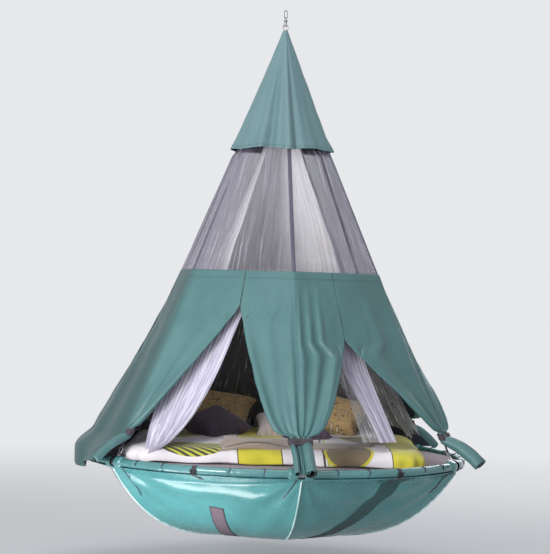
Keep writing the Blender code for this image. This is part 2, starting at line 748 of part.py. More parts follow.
def tent_round(u, z, bulge, off):
    """Point of the six-sided tent at a height; u goes once round from the front corner."""
    turn = u * CORNERS
    side = int(min(turn, CORNERS - 1e-9))
    point = side_point(strap_radius(z) + off, turn - side, bulge)
    point.z = z
    return Matrix.Rotation(side * CORNER_ANGLE, 3, "Z") @ point


def make_hat():
    def place(u, v):
        z = lerp(HAT_HEM, HAT_TOP, v)
        corner = lerp(strap_radius(HAT_HEM) + CLOTH_OFF, HAT_MOUTH_R, v)
        turn = (u % 1.0) * CORNERS
        side = int(turn)
        share = turn - side
        wave = math.sin(math.pi * share) * math.cos(4.0 * math.pi * share)
        point = side_point(corner, share, SIDE_BULGE + HAT_FOLD * (1.0 - v) * wave)
        point.z = z
        return Matrix.Rotation(side * CORNER_ANGLE, 3, "Z") @ point

    sheet("hat", place, 48, 4, CLOTH_T, CANVAS, ring_frame(corner_angle(0)), wrap=True)


def make_window():
    def place(u, v):
        z = lerp(CANVAS_TOP + SEAM_GAP, WINDOW_TOP, v)
        return tent_round(u % 1.0, z, SIDE_BULGE, FILM_OFF)

    sheet("window_band", place, 24, 3, FILM_T, FILM, ring_frame(corner_angle(0)), wrap=True)


def net_radius(z):
    """The net's bell: a narrow neck, then a flare down to the bed."""
    drop = max(0.0, (NET_NECK - z) / (NET_NECK - NET_HEM))
    return lerp(NET_NECK_R, NET_FOOT_R, drop ** 1.12), drop


def make_net():
    """Net hung from the crown, open at the front; it is gathered at its neck."""
    top = STRAP_RISE - CROWN_TOP - CROWN_H - FIT

    def place(u, v):
        row = v * NET_ROWS
        z = top if row > NET_ROWS - 0.5 else lerp(NET_HEM, NET_NECK, row / (NET_ROWS - 1))
        radius, drop = net_radius(z)
        radius *= 1.0 + NET_FOLD * min(1.0, 3.0 * drop) * math.cos(u * 2 * math.pi * NET_PLEATS)
        angle = corner_angle(1) + NET_START + u * NET_SWEEP
        return Vector((radius * math.sin(angle), -radius * math.cos(angle), z))

    sheet("net", place, 4 * NET_PLEATS, NET_ROWS, NET_T, NET_CLOTH, ring_frame(0.0))


def make_ties():
    """Straps that wrap the drawn curtains; each opens about its sewn end."""
    cloth = -strap_radius(TIE_Z) - CLOTH_OFF
    back = TAB_Y - TIE_T / 2.0 - 2 * FIT
    front = cloth - TIE_DEPTH
    bend = TIE_BEND
    for k in range(CORNERS):
        sides = [side for side, gore in ((-1, k - 1), (1, k)) if gore % CORNERS in DOORS]
        if not sides:
            continue
        path = []
        for side in sides:
            turn = Vector((side * (TIE_HALF_W - bend), front + bend, 0.0))
            leg = [Vector((side * TIE_HALF_W, back, 0.0))]
            leg += arc_points(turn, X * side, -Y, bend, 0.0, math.pi / 2, 4)
            path += leg if side == sides[0] else leg[::-1]
        if len(sides) == 1:
            side = sides[0]
            seat = cloth - CLOTH_T / 2.0 - TIE_T / 2.0 - TIE_LAP
            near = lerp(front, seat, 0.25)
            path += [Vector((side * 2 * bend, front, 0.0)), Vector((side * bend, near, 0.0))]
            path += [Vector((0.0, seat, 0.0))]
        outline = [p + Z * TIE_Z for p in ribbon_outline(path, TIE_T, Z)]
        plate(f"curtain_tie_{k}", outline, TIE_W, WEBBING, ring_frame(corner_angle(k)), STRAP_DIR)


# Bed

def make_bed():
    """Deck laced inside the ring, the mattress on it and the duvet on that."""
    deck_r = RING_R - COLLAR_R - FIT
    bm = bmesh.new()
    bmesh.ops.create_cone(
        bm, cap_ends=True, segments=72, radius1=deck_r, radius2=deck_r, depth=DECK_T
    )
    finish("deck", bm, DECK_CLOTH, ring_frame(corner_angle(0)))
    base = DECK_T / 2 + FIT
    outline = []
    for i, (sx, sy) in enumerate(((1, 1), (-1, 1), (-1, -1), (1, -1))):
        centre = X * sx * (BED_W / 2 - BED_CORNER) + Y * sy * (BED_D / 2 - BED_CORNER)
        centre += Z * (base + BED_H / 2)
        start = i * math.pi / 2
        outline += arc_points(centre, X, Y, BED_CORNER, start, start + math.pi / 2, 5)
    plate("mattress", outline, BED_H, FOAM, ring_frame(), Z)
    top = base + BED_H + FIT
    bm = bmesh.new()
    bmesh.ops.create_cube(bm, size=2.0)
    bmesh.ops.subdivide_edges(bm, edges=bm.edges, cuts=7, use_grid_fill=True)
    for vert in bm.verts:
        x, y, z = vert.co
        edge = (1.0 - abs(x) ** 8) * (1.0 - abs(y) ** 8)
        waves = DUVET_WAVE * math.cos(6.0 * x + 2.0 * y) * math.cos(4.0 * y - x)
        height = DUVET_T * (lerp(DUVET_EDGE, 1.0, edge) + waves)
        corner = 1.0 - DUVET_CORNER * (x * y) ** 4
        vert.co = Vector((
            x * BED_W / 2 * corner,
            y * BED_D / 2 * corner,
            top + height * (z + 1.0) / 2.0,
        ))
    finish("duvet", bm, QUILT, ring_frame())


def cushion(name, size, spot, tilt, turn, mat):
    """A stuffed cushion: crowned faces, and sides drawn in between the corners.

    Its width, depth and height are shares of the largest cushion's, and its spot is in shares of
    the bed's width and depth.
    """
    bm = bmesh.new()
    bmesh.ops.create_cube(bm, size=2.0)
    bmesh.ops.subdivide_edges(bm, edges=bm.edges, cuts=4, use_grid_fill=True)
    for vert in bm.verts:
        x, y, z = vert.co
        crown = math.sqrt(max(0.0, 1.0 - x * x) * max(0.0, 1.0 - y * y))
        vert.co = Vector((
            x * size[0] * CUSHION_W / 2 * (1.0 - CUSHION_WAIST * (1.0 - y * y) * x * x),
            y * size[1] * CUSHION_W / 2 * (1.0 - CUSHION_WAIST * (1.0 - x * x) * y * y),
            z * size[2] * CUSHION_T / 2 * lerp(CUSHION_SEAM, 1.0, crown ** 0.8),
        ))
    start = Matrix.Translation((spot[0] * BED_W, spot[1] * BED_D, STRAP_RISE / 2))
    matrix = ring_frame() @ start @ Matrix.Rotation(turn, 4, "Z") @ Matrix.Rotation(tilt, 4, "X")
    obj = finish(name, bm, mat, matrix)
    obj.location.z -= drop_onto(obj, bpy.data.objects["duvet"]) - FIT


def drop_onto(obj, support):
    """Height that an object can fall before it meets the solid below it."""
    bpy.context.view_layer.update()
    trees = []
    for item in (obj, support):
        bm = bmesh.new()
        bm.from_mesh(item.data)
        bm.transform(item.matrix_world)
        trees.append((BVHTree.FromBMesh(bm), [vert.co.copy() for vert in bm.verts]))
        bm.free()
    heights = []
    for (tree, _), (_, points), way in ((trees[1], trees[0], -1.0), (trees[0], trees[1], 1.0)):
        for point in points:
            distance = tree.ray_cast(point, Vector((0.0, 0.0, way)))[3]
            if distance is not None:
                heights.append(distance)
    return min(heights)


make_sling()
make_shackle()
make_swivel()
make_crown()
make_straps()
make_links()
make_ring()
make_hull()
make_canvas()
make_hat()
make_window()
make_net()
make_ties()
make_bed()
cushion("cushion_tan_left", (1.0, 1.0, 1.0), (-0.189, 0.173), 0.95, 0.10, TAN)
cushion("cushion_mauve", (1.0, 0.74, 1.0), (-0.200, -0.080), 0.45, 0.05, MAUVE)
cushion("cushion_beige", (0.78, 0.65, 0.80), (0.056, 0.000), 0.50, -0.10, BEIGE)
cushion("cushion_tan_right", (0.91, 0.91, 0.94), (0.244, 0.213), 1.10, -0.15, TAN)
cushion("cushion_small", (0.74, 0.48, 0.50), (0.111, -0.200), 0.0, 0.15, MAUVE)
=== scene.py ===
# %% [markdown]
# # A hanging tent, dressed for its portrait
# The object is a round bed slung on six straps inside a pointed tent of canvas and clear film.
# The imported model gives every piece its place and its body. This script keeps the hard parts, and
# puts real cloth, film, net, cords and cushions where the model has plain solids.

# %% The frame
import math

import bmesh
import bpy
from mathutils import Matrix, Vector, noise


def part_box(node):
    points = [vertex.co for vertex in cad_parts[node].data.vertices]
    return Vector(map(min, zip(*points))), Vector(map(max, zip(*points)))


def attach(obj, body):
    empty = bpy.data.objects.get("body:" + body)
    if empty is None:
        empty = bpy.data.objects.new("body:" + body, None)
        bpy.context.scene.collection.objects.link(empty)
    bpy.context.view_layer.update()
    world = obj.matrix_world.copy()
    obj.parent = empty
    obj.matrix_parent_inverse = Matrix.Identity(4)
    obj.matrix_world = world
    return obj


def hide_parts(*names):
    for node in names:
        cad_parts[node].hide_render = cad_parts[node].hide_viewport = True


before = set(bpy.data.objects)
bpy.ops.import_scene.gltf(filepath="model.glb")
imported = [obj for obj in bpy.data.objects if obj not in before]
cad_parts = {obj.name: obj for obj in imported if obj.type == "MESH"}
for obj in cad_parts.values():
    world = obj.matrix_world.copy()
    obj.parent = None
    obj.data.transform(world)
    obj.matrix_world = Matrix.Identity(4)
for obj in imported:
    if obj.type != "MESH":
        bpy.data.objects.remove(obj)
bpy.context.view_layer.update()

# %% [markdown]
# ## The tent's own measures
# A tent of this kind is all one geometry: straps run from one point to the corners of the ring, and
# every cloth follows them. So the few sizes that fix those lines are named once, and each piece is
# placed by height above the ring and by its share of the way from one corner to the next.

# %% Measures
RING_R = 1.25
RING_DROP = 2.98
STRAP_RISE = 2.757
CORNERS = 6
CORNER_ANGLE = 2 * math.pi / CORNERS
CORNER_TURN = math.radians(7.8)
DOORS = {0: (0.80, 0.39), 1: (0.90, 0.50), 5: (1.00, 0.56)}
X, Y, Z = Vector((1, 0, 0)), Vector((0, 1, 0)), Vector((0, 0, 1))
STRAP_DIR = Vector((0.0, RING_R, STRAP_RISE)).normalized()
STRAP_OUT = Vector((0.0, -STRAP_RISE, RING_R)).normalized()


def corner_angle(k):
    return CORNER_TURN + k * CORNER_ANGLE


def ring_frame(angle=0.0):
    """Frame at the ring's centre whose -Y points to the given angle."""
    return Matrix.Translation((0, 0, -RING_DROP)) @ Matrix.Rotation(angle, 4, "Z")


def strap_radius(z):
    return RING_R * (1.0 - z / STRAP_RISE)


def smooth(t):
    t = min(1.0, max(0.0, t))
    return t * t * (3.0 - 2.0 * t)


def lerp(a, b, t):
    return a + (b - a) * t


def side_point(radius, share, bulge):
    """Point on the side right of the front corner: share 0 is the corner, 0.5 mid-side."""
    along = Vector((math.sin(CORNER_ANGLE), 1.0 - math.cos(CORNER_ANGLE), 0.0))
    outward = Vector((math.sin(CORNER_ANGLE / 2), -math.cos(CORNER_ANGLE / 2), 0.0))
    bow = bulge * radius * math.sin(math.pi * share)
    return Vector((0.0, -radius, 0.0)) + along * radius * share + outward * bow


def round_point(radius, angle, z):
    """Point at a radius and a height, by its angle round the pole from the front."""
    return Vector((radius * math.sin(angle), -radius * math.cos(angle), z))


def on_sides(u):
    """At share u of the way round: the turn counted in sides, the side, and the share of that side."""
    turn = (u % 1.0) * CORNERS
    side = int(min(turn, CORNERS - 1e-9))
    return turn, side, turn - side


def on_line(line, t):
    """Point at share t of a line that is a list of points."""
    spot = t * (len(line) - 1)
    i = min(int(spot), len(line) - 2)
    return line[i].lerp(line[i + 1], spot - i)


def placed(name, data):
    """A new object in the scene."""
    obj = bpy.data.objects.new(name, data)
    bpy.context.scene.collection.objects.link(obj)
    return obj


def add_node(tree, kind, inputs, **settings):
    """A shader node with its settings; each input is a value or another node's socket."""
    node = tree.nodes.new("ShaderNode" + kind)
    for name, value in settings.items():
        setattr(node, name, value)
    for socket, value in inputs.items():
        if isinstance(value, bpy.types.NodeSocket):
            tree.links.new(value, node.inputs[socket])
        else:
            node.inputs[socket].default_value = value
    return node


print("strap length", round(math.hypot(RING_R, STRAP_RISE), 3), "m")

# %% [markdown]
# ## The camera
# The picture was taken from about twelve metres with a long lens, a metre above the bed, and the
# camera was rolled a little. The camera comes first, because every later look is judged through it.

# %% Camera
CAMERA_AWAY = 12.0
CAMERA_RISE = 1.102
CAMERA_LENS = 116.2
CAMERA_YAW = 0.002
CAMERA_PITCH = math.radians(90.43)
CAMERA_ROLL = 0.028
camera = placed("camera", bpy.data.cameras.new("camera"))
bpy.context.scene.camera = camera
camera.data.lens = CAMERA_LENS
camera.data.sensor_width = 36.0
camera.matrix_world = (
    Matrix.Translation((0.0, -CAMERA_AWAY, -RING_DROP + CAMERA_RISE))
    @ Matrix.Rotation(CAMERA_YAW, 4, "Z")
    @ Matrix.Rotation(CAMERA_PITCH, 4, "X")
    @ Matrix.Rotation(CAMERA_ROLL, 4, "Z")
)
camera.data.clip_end = 300.0
print("camera at", [round(v, 2) for v in camera.location])

# %% [markdown]
# ## Floor, sky and lamps
# A plain pale studio: a wide floor under the hull that keeps the shadow, a pale world behind, and
# broad soft lamps. The floor and the world show their pale colour only to the camera, to glossy and
# to see-through rays, so that they don't light the tent by themselves.

# %% Studio
def rays_of_the_picture(tree):
    """One value that is 1 for rays whose result is seen: camera, glossy and transmission rays."""
    rays = add_node(tree, "LightPath", {}).outputs
    seen = rays["Is Camera Ray"]
    for kind in ("Is Glossy Ray", "Is Transmission Ray"):
        seen = add_node(tree, "Math", {0: seen, 1: rays[kind]}, operation="MAXIMUM").outputs[0]
    return seen


PALE = (0.80, 0.81, 0.83, 1.0)
FLOOR_Z = -3.78
FLOOR_R = 60.0
FLOOR_NEAR = 2.5
FLOOR_FAR = 11.0
world = bpy.data.worlds.new("studio")
bpy.context.scene.world = world
world.use_nodes = True
tree = world.node_tree
dim = tree.nodes["Background"]
dim.inputs["Color"].default_value = (0.93, 0.95, 1.0, 1.0)
dim.inputs["Strength"].default_value = 0.34
pale = add_node(tree, "Background", {"Color": PALE})
either = add_node(tree, "MixShader", {0: rays_of_the_picture(tree), 1: dim.outputs[0], 2: pale.outputs[0]})
tree.links.new(either.outputs[0], tree.nodes["World Output"].inputs["Surface"])

bm = bmesh.new()
bmesh.ops.create_circle(bm, cap_ends=True, segments=96, radius=FLOOR_R)
bmesh.ops.translate(bm, verts=bm.verts, vec=(0.0, 0.0, FLOOR_Z))
floor_mesh = bpy.data.meshes.new("floor")
bm.to_mesh(floor_mesh)
bm.free()
floor = placed("floor", floor_mesh)
floor_finish = bpy.data.materials.new("pale_floor")
floor_finish.use_nodes = True
tree = floor_finish.node_tree
matt = tree.nodes["Principled BSDF"]
matt.inputs["Base Color"].default_value = (0.62, 0.63, 0.65, 1.0)
matt.inputs["Roughness"].default_value = 0.9
spot = add_node(tree, "TexCoord", {}).outputs["Object"]
away = add_node(tree, "VectorMath", {0: spot}, operation="LENGTH").outputs["Value"]
ends = {"From Min": FLOOR_NEAR, "From Max": FLOOR_FAR, "Value": away}
far = add_node(tree, "MapRange", ends, interpolation_type="SMOOTHSTEP").outputs["Result"]
both = add_node(tree, "Math", {0: far, 1: rays_of_the_picture(tree)}, operation="MULTIPLY").outputs[0]
glow = add_node(tree, "Emission", {"Color": PALE}).outputs[0]
blend = add_node(tree, "MixShader", {0: both, 1: matt.outputs[0], 2: glow})
tree.links.new(blend.outputs[0], tree.nodes["Material Output"].inputs["Surface"])
floor_mesh.materials.append(floor_finish)


def lamp(name, place, target, size, watts, colour=(1.0, 1.0, 1.0)):
    """A square soft box that looks at a point of the tent."""
    data = bpy.data.lights.new(name, "AREA")
    data.size = size
    data.energy = watts
    data.color = colour
    box = placed(name, data)
    box.location = place
    box.rotation_euler = (Vector(target) - Vector(place)).to_track_quat("-Z", "Y").to_euler()
    return box


lamp("key", (-4.8, -8.0, -1.0), (0.0, 0.0, -2.4), 3.0, 600, (1.0, 0.99, 0.97))
lamp("fill", (5.0, -8.0, -0.6), (0.0, 0.0, -2.0), 4.5, 60, (0.95, 0.97, 1.0))
lamp("low", (-2.6, -5.0, -3.4), (-0.4, 0.0, -3.2), 1.6, 45)
glance = lamp("glance", (-0.92, -1.15, -3.72), (-0.92, -1.14, -3.0), 1.1, 9)
glance.data.shape = "RECTANGLE"
glance.data.size_y = 0.30
glance.visible_camera = False
lamp("back", (2.5, 7.0, 0.8), (0.0, 0.0, -1.6), 4.0, 170, (0.95, 0.97, 1.0))
lamp("over", (0.0, -1.0, 4.0), (0.0, 0.0, -2.0), 5.0, 160)
print("studio ready")

# %% [markdown]
# ## From bmesh to piece
# Every piece ends the same way: a mesh with its place in its points, one finish, the body that it
# rides on and the node that it stands for. A cloth is a grid that a function puts in place, with a
# UV map in metres along the cloth, so that weave and stitches keep their real size.

# %% Piece makers
def piece(name, bm, finish, body, stands_for=(), slot=None, crease=40.0, wall=0.0, lining=None):
    """A named object at the origin, dressed, riding on its body; a lining is its inner face's finish."""
    mesh = bpy.data.meshes.new(name)
    bm.to_mesh(mesh)
    bm.free()
    mesh.materials.append(finish)
    if lining:
        mesh.materials.append(lining)
    mesh.shade_smooth()
    mesh.set_sharp_from_angle(angle=math.radians(crease))
    obj = placed(name, mesh)
    if wall:
        solid = obj.modifiers.new("wall", "SOLIDIFY")
        solid.thickness = wall
        solid.offset = 0.0
        solid.material_offset = 1 if lining else 0
    if stands_for:
        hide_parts(*stands_for)
    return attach(obj, body)


def cloth_grid(place, columns, rows, size, frame_matrix=None, closed=False):
    """A grid laid by place(u, v), v from the bottom; its UV map is in metres of cloth."""
    bm = bmesh.new()
    uv = bm.loops.layers.uv.new("cloth")
    bmesh.ops.create_grid(bm, x_segments=columns, y_segments=rows, size=1.0, calc_uvs=True)
    for face in bm.faces:
        for loop in face.loops:
            u = (loop.vert.co.x + 1.0) / 2.0
            v = (loop.vert.co.y + 1.0) / 2.0
            loop[uv].uv = (u * size[0], v * size[1])
    for vert in bm.verts:
        vert.co = place((vert.co.x + 1.0) / 2.0, (vert.co.y + 1.0) / 2.0)
    if closed:
        bmesh.ops.remove_doubles(bm, verts=bm.verts, dist=0.00001)
    if frame_matrix is not None:
        bmesh.ops.transform(bm, matrix=frame_matrix, verts=bm.verts)
    return bm


def crumple(bm, height, scale, seed=0.0, keep_edges=0.0):
    """Push the points of a cloth along their normals by a soft noise."""
    bm.normal_update()
    offset = Vector((seed * 3.1, seed * 1.7, seed * 0.9))
    for vert in bm.verts:
        push = noise.noise(vert.co * scale + offset) + 0.4 * noise.noise(vert.co * scale * 2.6 - offset)
        if keep_edges and vert.is_boundary:
            push *= 1.0 - keep_edges
        vert.co += vert.normal * push * height


def flat_area(bm):
    return sum(face.calc_area() for face in bm.faces)


def tube(points, radius, sides=8):
    """A round cord or wire along points, as a bmesh."""
    curve = bpy.data.curves.new("tube", "CURVE")
    curve.dimensions = "3D"
    curve.bevel_depth = radius
    curve.bevel_resolution = max(0, sides // 2 - 2)
    curve.use_fill_caps = True
    spline = curve.splines.new("POLY")
    spline.points.add(len(points) - 1)
    for target, point in zip(spline.points, points):
        target.co = (*point, 1.0)
    holder = placed("tube", curve)
    mesh = bpy.data.meshes.new_from_object(holder)
    bm = bmesh.new()
    bm.from_mesh(mesh)
    bmesh.ops.remove_doubles(bm, verts=bm.verts, dist=0.000002)
    bmesh.ops.recalc_face_normals(bm, faces=bm.faces)
    bpy.data.objects.remove(holder, do_unlink=True)
    bpy.data.meshes.remove(mesh)
    return bm


def add_to(bm, other):
    """Copy another bmesh's faces into this one, and free the other."""
    carrier = bpy.data.meshes.new("carrier")
    other.to_mesh(carrier)
    other.free()
    bm.from_mesh(carrier)
    bpy.data.meshes.remove(carrier)


def sheet(name, bm, finish, node, slot, wall, crease=60.0, inner=None):
    """A cloth in the place of a node; prints the area of its own faces."""
    area = round(flat_area(bm), 2)
    obj = piece(name, bm, finish, "tent", (node,), slot, crease, wall, inner)
    print(name, "cloth", area, "square metres")


print("makers ready")

# %% [markdown]
# ## A small kit for finishes
# Every finish here is made of nodes only. The same few moves come back: read a place on the piece,
# make a pattern from it, mix two colours by the pattern, and let the pattern raise the surface a
# little.

# %% Node kit
class Finish:
    """A node material under construction; its methods add one node each and return a socket."""

    def __init__(self, name, colour, roughness, **sockets):
        self.made = bpy.data.materials.new(name)
        self.made.use_nodes = True
        self.made.diffuse_color = (*colour, 1.0)
        self.tree = self.made.node_tree
        self.shader = self.tree.nodes["Principled BSDF"]
        self.shader.inputs["Base Color"].default_value = (*colour, 1.0)
        self.shader.inputs["Roughness"].default_value = roughness
        for socket, value in sockets.items():
            self.shader.inputs[socket.replace("_", " ")].default_value = value

    def add(self, kind, inputs, **settings):
        return add_node(self.tree, kind, inputs, **settings).outputs

    def place(self, scale=(1.0, 1.0, 1.0), turn=(0.0, 0.0, 0.0), kind="UV"):
        """Coordinates on the piece, in metres times scale."""
        start = self.add("TexCoord", {})[kind]
        return self.add("Mapping", {"Scale": scale, "Rotation": turn, "Vector": start})["Vector"]

    def noise(self, vector, scale, detail=3.0, rough=0.5):
        inputs = {"Scale": scale, "Detail": detail, "Roughness": rough, "Vector": vector}
        return self.add("TexNoise", inputs)["Fac"]

    def wave(self, vector, scale, direction="X"):
        return self.add("TexWave", {"Scale": scale, "Vector": vector}, bands_direction=direction)["Fac"]

    def cells(self, vector, scale, feature="F1", jitter=1.0):
        inputs = {"Scale": scale, "Randomness": jitter, "Vector": vector}
        return self.add("TexVoronoi", inputs, feature=feature)["Distance"]

    def maths(self, operation, *values, clamp=False):
        return self.add("Math", dict(enumerate(values)), operation=operation, use_clamp=clamp)[0]

    def near(self, value, middle, reach):
        """1 where the value is closer to the middle than the reach."""
        return self.maths("LESS_THAN", self.maths("ABSOLUTE", self.maths("SUBTRACT", value, middle)), reach)

    def ramp(self, value, low, high, bottom=0.0, top=1.0):
        """Value from low..high, stretched to bottom..top with clamped ends."""
        inputs = {"From Min": low, "From Max": high, "To Min": bottom, "To Max": top, "Value": value}
        return self.add("MapRange", inputs)["Result"]

    def parts(self, vector):
        return self.add("SeparateXYZ", {0: vector})

    def mix(self, value, first, second):
        """A colour between two colours, each a tuple or a socket."""
        inputs = {"Factor": value}
        for socket, colour in ((6, first), (7, second)):
            inputs[socket] = (*colour, 1.0) if isinstance(colour, tuple) else colour
        return self.add("Mix", inputs, data_type="RGBA")[2]

    def to(self, socket, value):
        self.tree.links.new(value, self.shader.inputs[socket])

    def raise_by(self, *heights):
        """Bumps stacked on each other: each is (pattern, height in metres, strength)."""
        below = {}
        for pattern, height, strength in heights:
            inputs = {"Distance": height, "Strength": strength, "Height": pattern, **below}
            below = {"Normal": self.add("Bump", inputs)["Normal"]}
        self.to("Normal", below["Normal"])

    def weave(self, vector, threads):
        """Plain weave: two sets of threads, that many to the metre each way."""
        across = self.wave(vector, threads * 0.05, "X")
        along = self.wave(vector, threads * 0.05, "Y")
        return self.maths("MAXIMUM", across, along)


print("node kit ready")

# %% [markdown]
# ## Canvas
# The skirt and the hat are proofed cotton of a grey teal. What gives such cloth away is its weave up
# close, slight fading in patches, soft creases from packing, and two rows of stitches under each hem.
# The UV map is in metres, so a row of stitches can be put exactly thirty-five millimetres down.

# %% Canvas finish
SHADED_WAY = (-0.990, -0.139)
STITCH_HALF = 0.0013
STITCH_COLOUR = (0.03, 0.07, 0.08)
CANVAS_T = 0.0016


def canvas_finish(name, dark, light, hem_rows=(), shaded=False):
    """Teal canvas; hem_rows are the distances of stitch rows from the lower end of the UV map.

    With shaded, the closed side on the left is darkened with painted shade.
    """
    cloth = Finish(name, light, 0.55, Coat_Weight=0.10, Coat_Roughness=0.25)
    body = cloth.place(kind="Object")
    uv = cloth.place()
    patches = cloth.noise(body, 2.2, 4.0, 0.6)
    flecks = cloth.noise(uv, 260.0, 2.0)
    tone = cloth.maths("MULTIPLY_ADD", flecks, 0.35, cloth.ramp(patches, 0.30, 0.72, 0.0, 0.65))
    colour = cloth.mix(tone, dark, light)
    if shaded:
        # Painted shade: cloth on the closed side facing left turns dark, as it does in shade.
        x, y = cloth.parts(body)[0], cloth.parts(body)[1]
        reach = cloth.maths("SQRT", cloth.maths("MULTIPLY_ADD", x, x, cloth.maths("MULTIPLY", y, y)))
        towards = cloth.maths("MULTIPLY_ADD", x, SHADED_WAY[0], cloth.maths("MULTIPLY", y, SHADED_WAY[1]))
        painted_shade = cloth.ramp(cloth.maths("DIVIDE", towards, reach), 0.83, 0.89, 0.0, 0.62)
        colour = cloth.mix(painted_shade, colour, tuple(c * 0.22 for c in dark))
    creases = cloth.noise(body, 14.0, 5.0, 0.65)
    weave = cloth.weave(uv, 900.0)
    stitches = None
    for row in hem_rows:
        near = cloth.near(cloth.parts(uv)[1], row, STITCH_HALF)
        dashes = cloth.maths("GREATER_THAN", cloth.wave(uv, 9.0, "X"), 0.25)
        line = cloth.maths("MULTIPLY", near, dashes)
        stitches = line if stitches is None else cloth.maths("MAXIMUM", stitches, line)
    if stitches is not None:
        colour = cloth.mix(stitches, colour, STITCH_COLOUR)
    cloth.to("Base Color", colour)
    cloth.to("Roughness", cloth.ramp(patches, 0.3, 0.7, 0.44, 0.60))
    fine = cloth.noise(body, 42.0, 4.0, 0.6)
    cloth.raise_by((creases, 0.006, 0.40), (fine, 0.002, 0.30), (weave, 0.0004, 0.25))
    return cloth.made


CANVAS_LIGHT = (0.088, 0.205, 0.212)
CANVAS_DARK = (0.055, 0.145, 0.152)

# The canvas's inner face is near black, with a faint noise in its tone.
lining = Finish("near_black_lining", (0.012, 0.020, 0.024), 0.75)
lining_body = lining.place(kind="Object")
lining_tone = lining.noise(lining_body, 6.0, 4.0)
lining.to("Base Color", lining.mix(lining_tone, (0.007, 0.012, 0.015), (0.020, 0.032, 0.038)))
lining.raise_by((lining.noise(lining_body, 11.0, 4.0, 0.6), 0.006, 0.5))
print("canvas and lining ready")

# %% [markdown]
# ## Coated cloth, film and net
# The hull is heavy cloth with a glossy coating: sharp reflections that wander with every dent. The
# window is thin clear film drawn into fine crinkles, with painted glints as pale streaks along them;
# round the sides and the back it turns into a dark grey veil of painted shade. The net is so fine that
# it reads as a pale veil, denser wherever its folds run along the line of sight.

# %% Coated cloth, film and net finishes
def coated_finish(name, dark, light):
    coat = Finish(name, light, 0.24, Coat_Weight=0.35, Coat_Roughness=0.08)
    body = coat.place(kind="Object")
    patches = coat.noise(body, 3.0, 4.0)
    dents = coat.noise(body, 7.0, 3.0, 0.55)
    fine = coat.noise(body, 22.0, 3.0, 0.5)
    coat.to("Base Color", coat.mix(coat.ramp(patches, 0.3, 0.7), dark, light))
    coat.to("Roughness", coat.ramp(fine, 0.3, 0.7, 0.22, 0.30))
    coat.raise_by((dents, 0.020, 0.22), (fine, 0.0016, 0.08))
    return coat.made


hull_coat = coated_finish("coated_cloth", (0.055, 0.215, 0.225), (0.085, 0.290, 0.300))
sleeve_coat = coated_finish("sleeve_cloth", (0.060, 0.190, 0.200), (0.095, 0.265, 0.275))

FILM_RUN = 4.0
FILM_FRONT = 0.136
film = Finish("clear_film", (0.62, 0.60, 0.70), 0.22, Specular_IOR_Level=0.6)
film_uv = film.place((1.0, 0.035, 1.0))
crinkle = film.noise(film_uv, 26.0, 5.0, 0.62)
# Painted glints: pale streaks along the crinkles, where the film is lighter and more opaque.
painted_glint = film.ramp(film.noise(film_uv, 60.0, 4.0, 0.65), 0.50, 0.74)
# Painted shade: the strip is clearest in front and turns into a dark grey veil round the sides and the
# back.
way_round = film.maths("MULTIPLY_ADD", film.parts(film.place())[0], 2.0 * math.pi / FILM_RUN, FILM_FRONT)
shade_veil = film.ramp(film.maths("COSINE", way_round), 0.86, 0.55, 0.06, 0.40)
film.to("Alpha", film.maths("MULTIPLY_ADD", painted_glint, 0.22, shade_veil, clamp=True))
# Between the glints the film is a dark lavender grey, the colour of its painted shade.
film.to("Base Color", film.mix(painted_glint, (0.22, 0.21, 0.30), (0.72, 0.70, 0.80)))
film.raise_by((crinkle, 0.006, 0.6), (film.noise(film_uv, 90.0, 3.0), 0.002, 0.35))

net_cloth = Finish("net_cloth", (0.84, 0.83, 0.92), 0.75, Sheen_Weight=0.2)
net_uv = net_cloth.place((1.0, 0.05, 1.0))
net_folds = net_cloth.noise(net_uv, 30.0, 5.0, 0.65)
mesh_holes = net_cloth.cells(net_cloth.place(), 620.0)
height = net_cloth.parts(net_cloth.place())[1]
upper = net_cloth.ramp(height, 1.02, 1.30)
dense = net_cloth.ramp(net_folds, 0.35, 0.62, 0.80, 0.99)
strands = net_cloth.noise(net_cloth.place((1.0, 0.08, 1.0)), 44.0, 6.0, 0.75)
glint = net_cloth.ramp(strands, 0.55, 0.70, 0.05, 0.72)
lower = net_cloth.maths("MULTIPLY", glint, net_cloth.maths("SUBTRACT", 1.0, upper))
density = net_cloth.maths("ADD", net_cloth.maths("MULTIPLY", dense, upper), lower)
net_cloth.to("Alpha", net_cloth.maths("MULTIPLY_ADD", mesh_holes, 0.05, density, clamp=True))
net_cloth.to("Base Color", net_cloth.mix(net_folds, (0.88, 0.87, 0.95), (1.0, 0.99, 1.0)))
net_cloth.raise_by((net_folds, 0.006, 0.5))

bunch_net = Finish("bunched_net", (0.78, 0.75, 0.88), 0.8, Sheen_Weight=0.3)
bunch_uv = bunch_net.place((1.0, 0.06, 1.0))
gathers = bunch_net.noise(bunch_uv, 70.0, 5.0, 0.65)
bunch_net.to("Alpha", bunch_net.ramp(gathers, 0.30, 0.60, 0.74, 0.97))
# Painted shade: the gathers turn dark lavender in their hollows.
bunch_gather_shade = bunch_net.ramp(gathers, 0.32, 0.66)
bunch_net.to("Base Color", bunch_net.mix(bunch_gather_shade, (0.50, 0.47, 0.64), (0.88, 0.86, 0.95)))
bunch_net.raise_by((gathers, 0.005, 0.6), (bunch_net.cells(bunch_net.place(), 620.0), 0.0004, 0.3))
print("film and net finishes ready")

# %% [markdown]
# ## Webbing, cord and metal
# Straps, ties and sling are woven narrow bands with fine ribs across them. The fittings are steel with
# small scratches and a slightly uneven polish.

# %% Webbing, cord and metal finishes
RIBS = 520.0


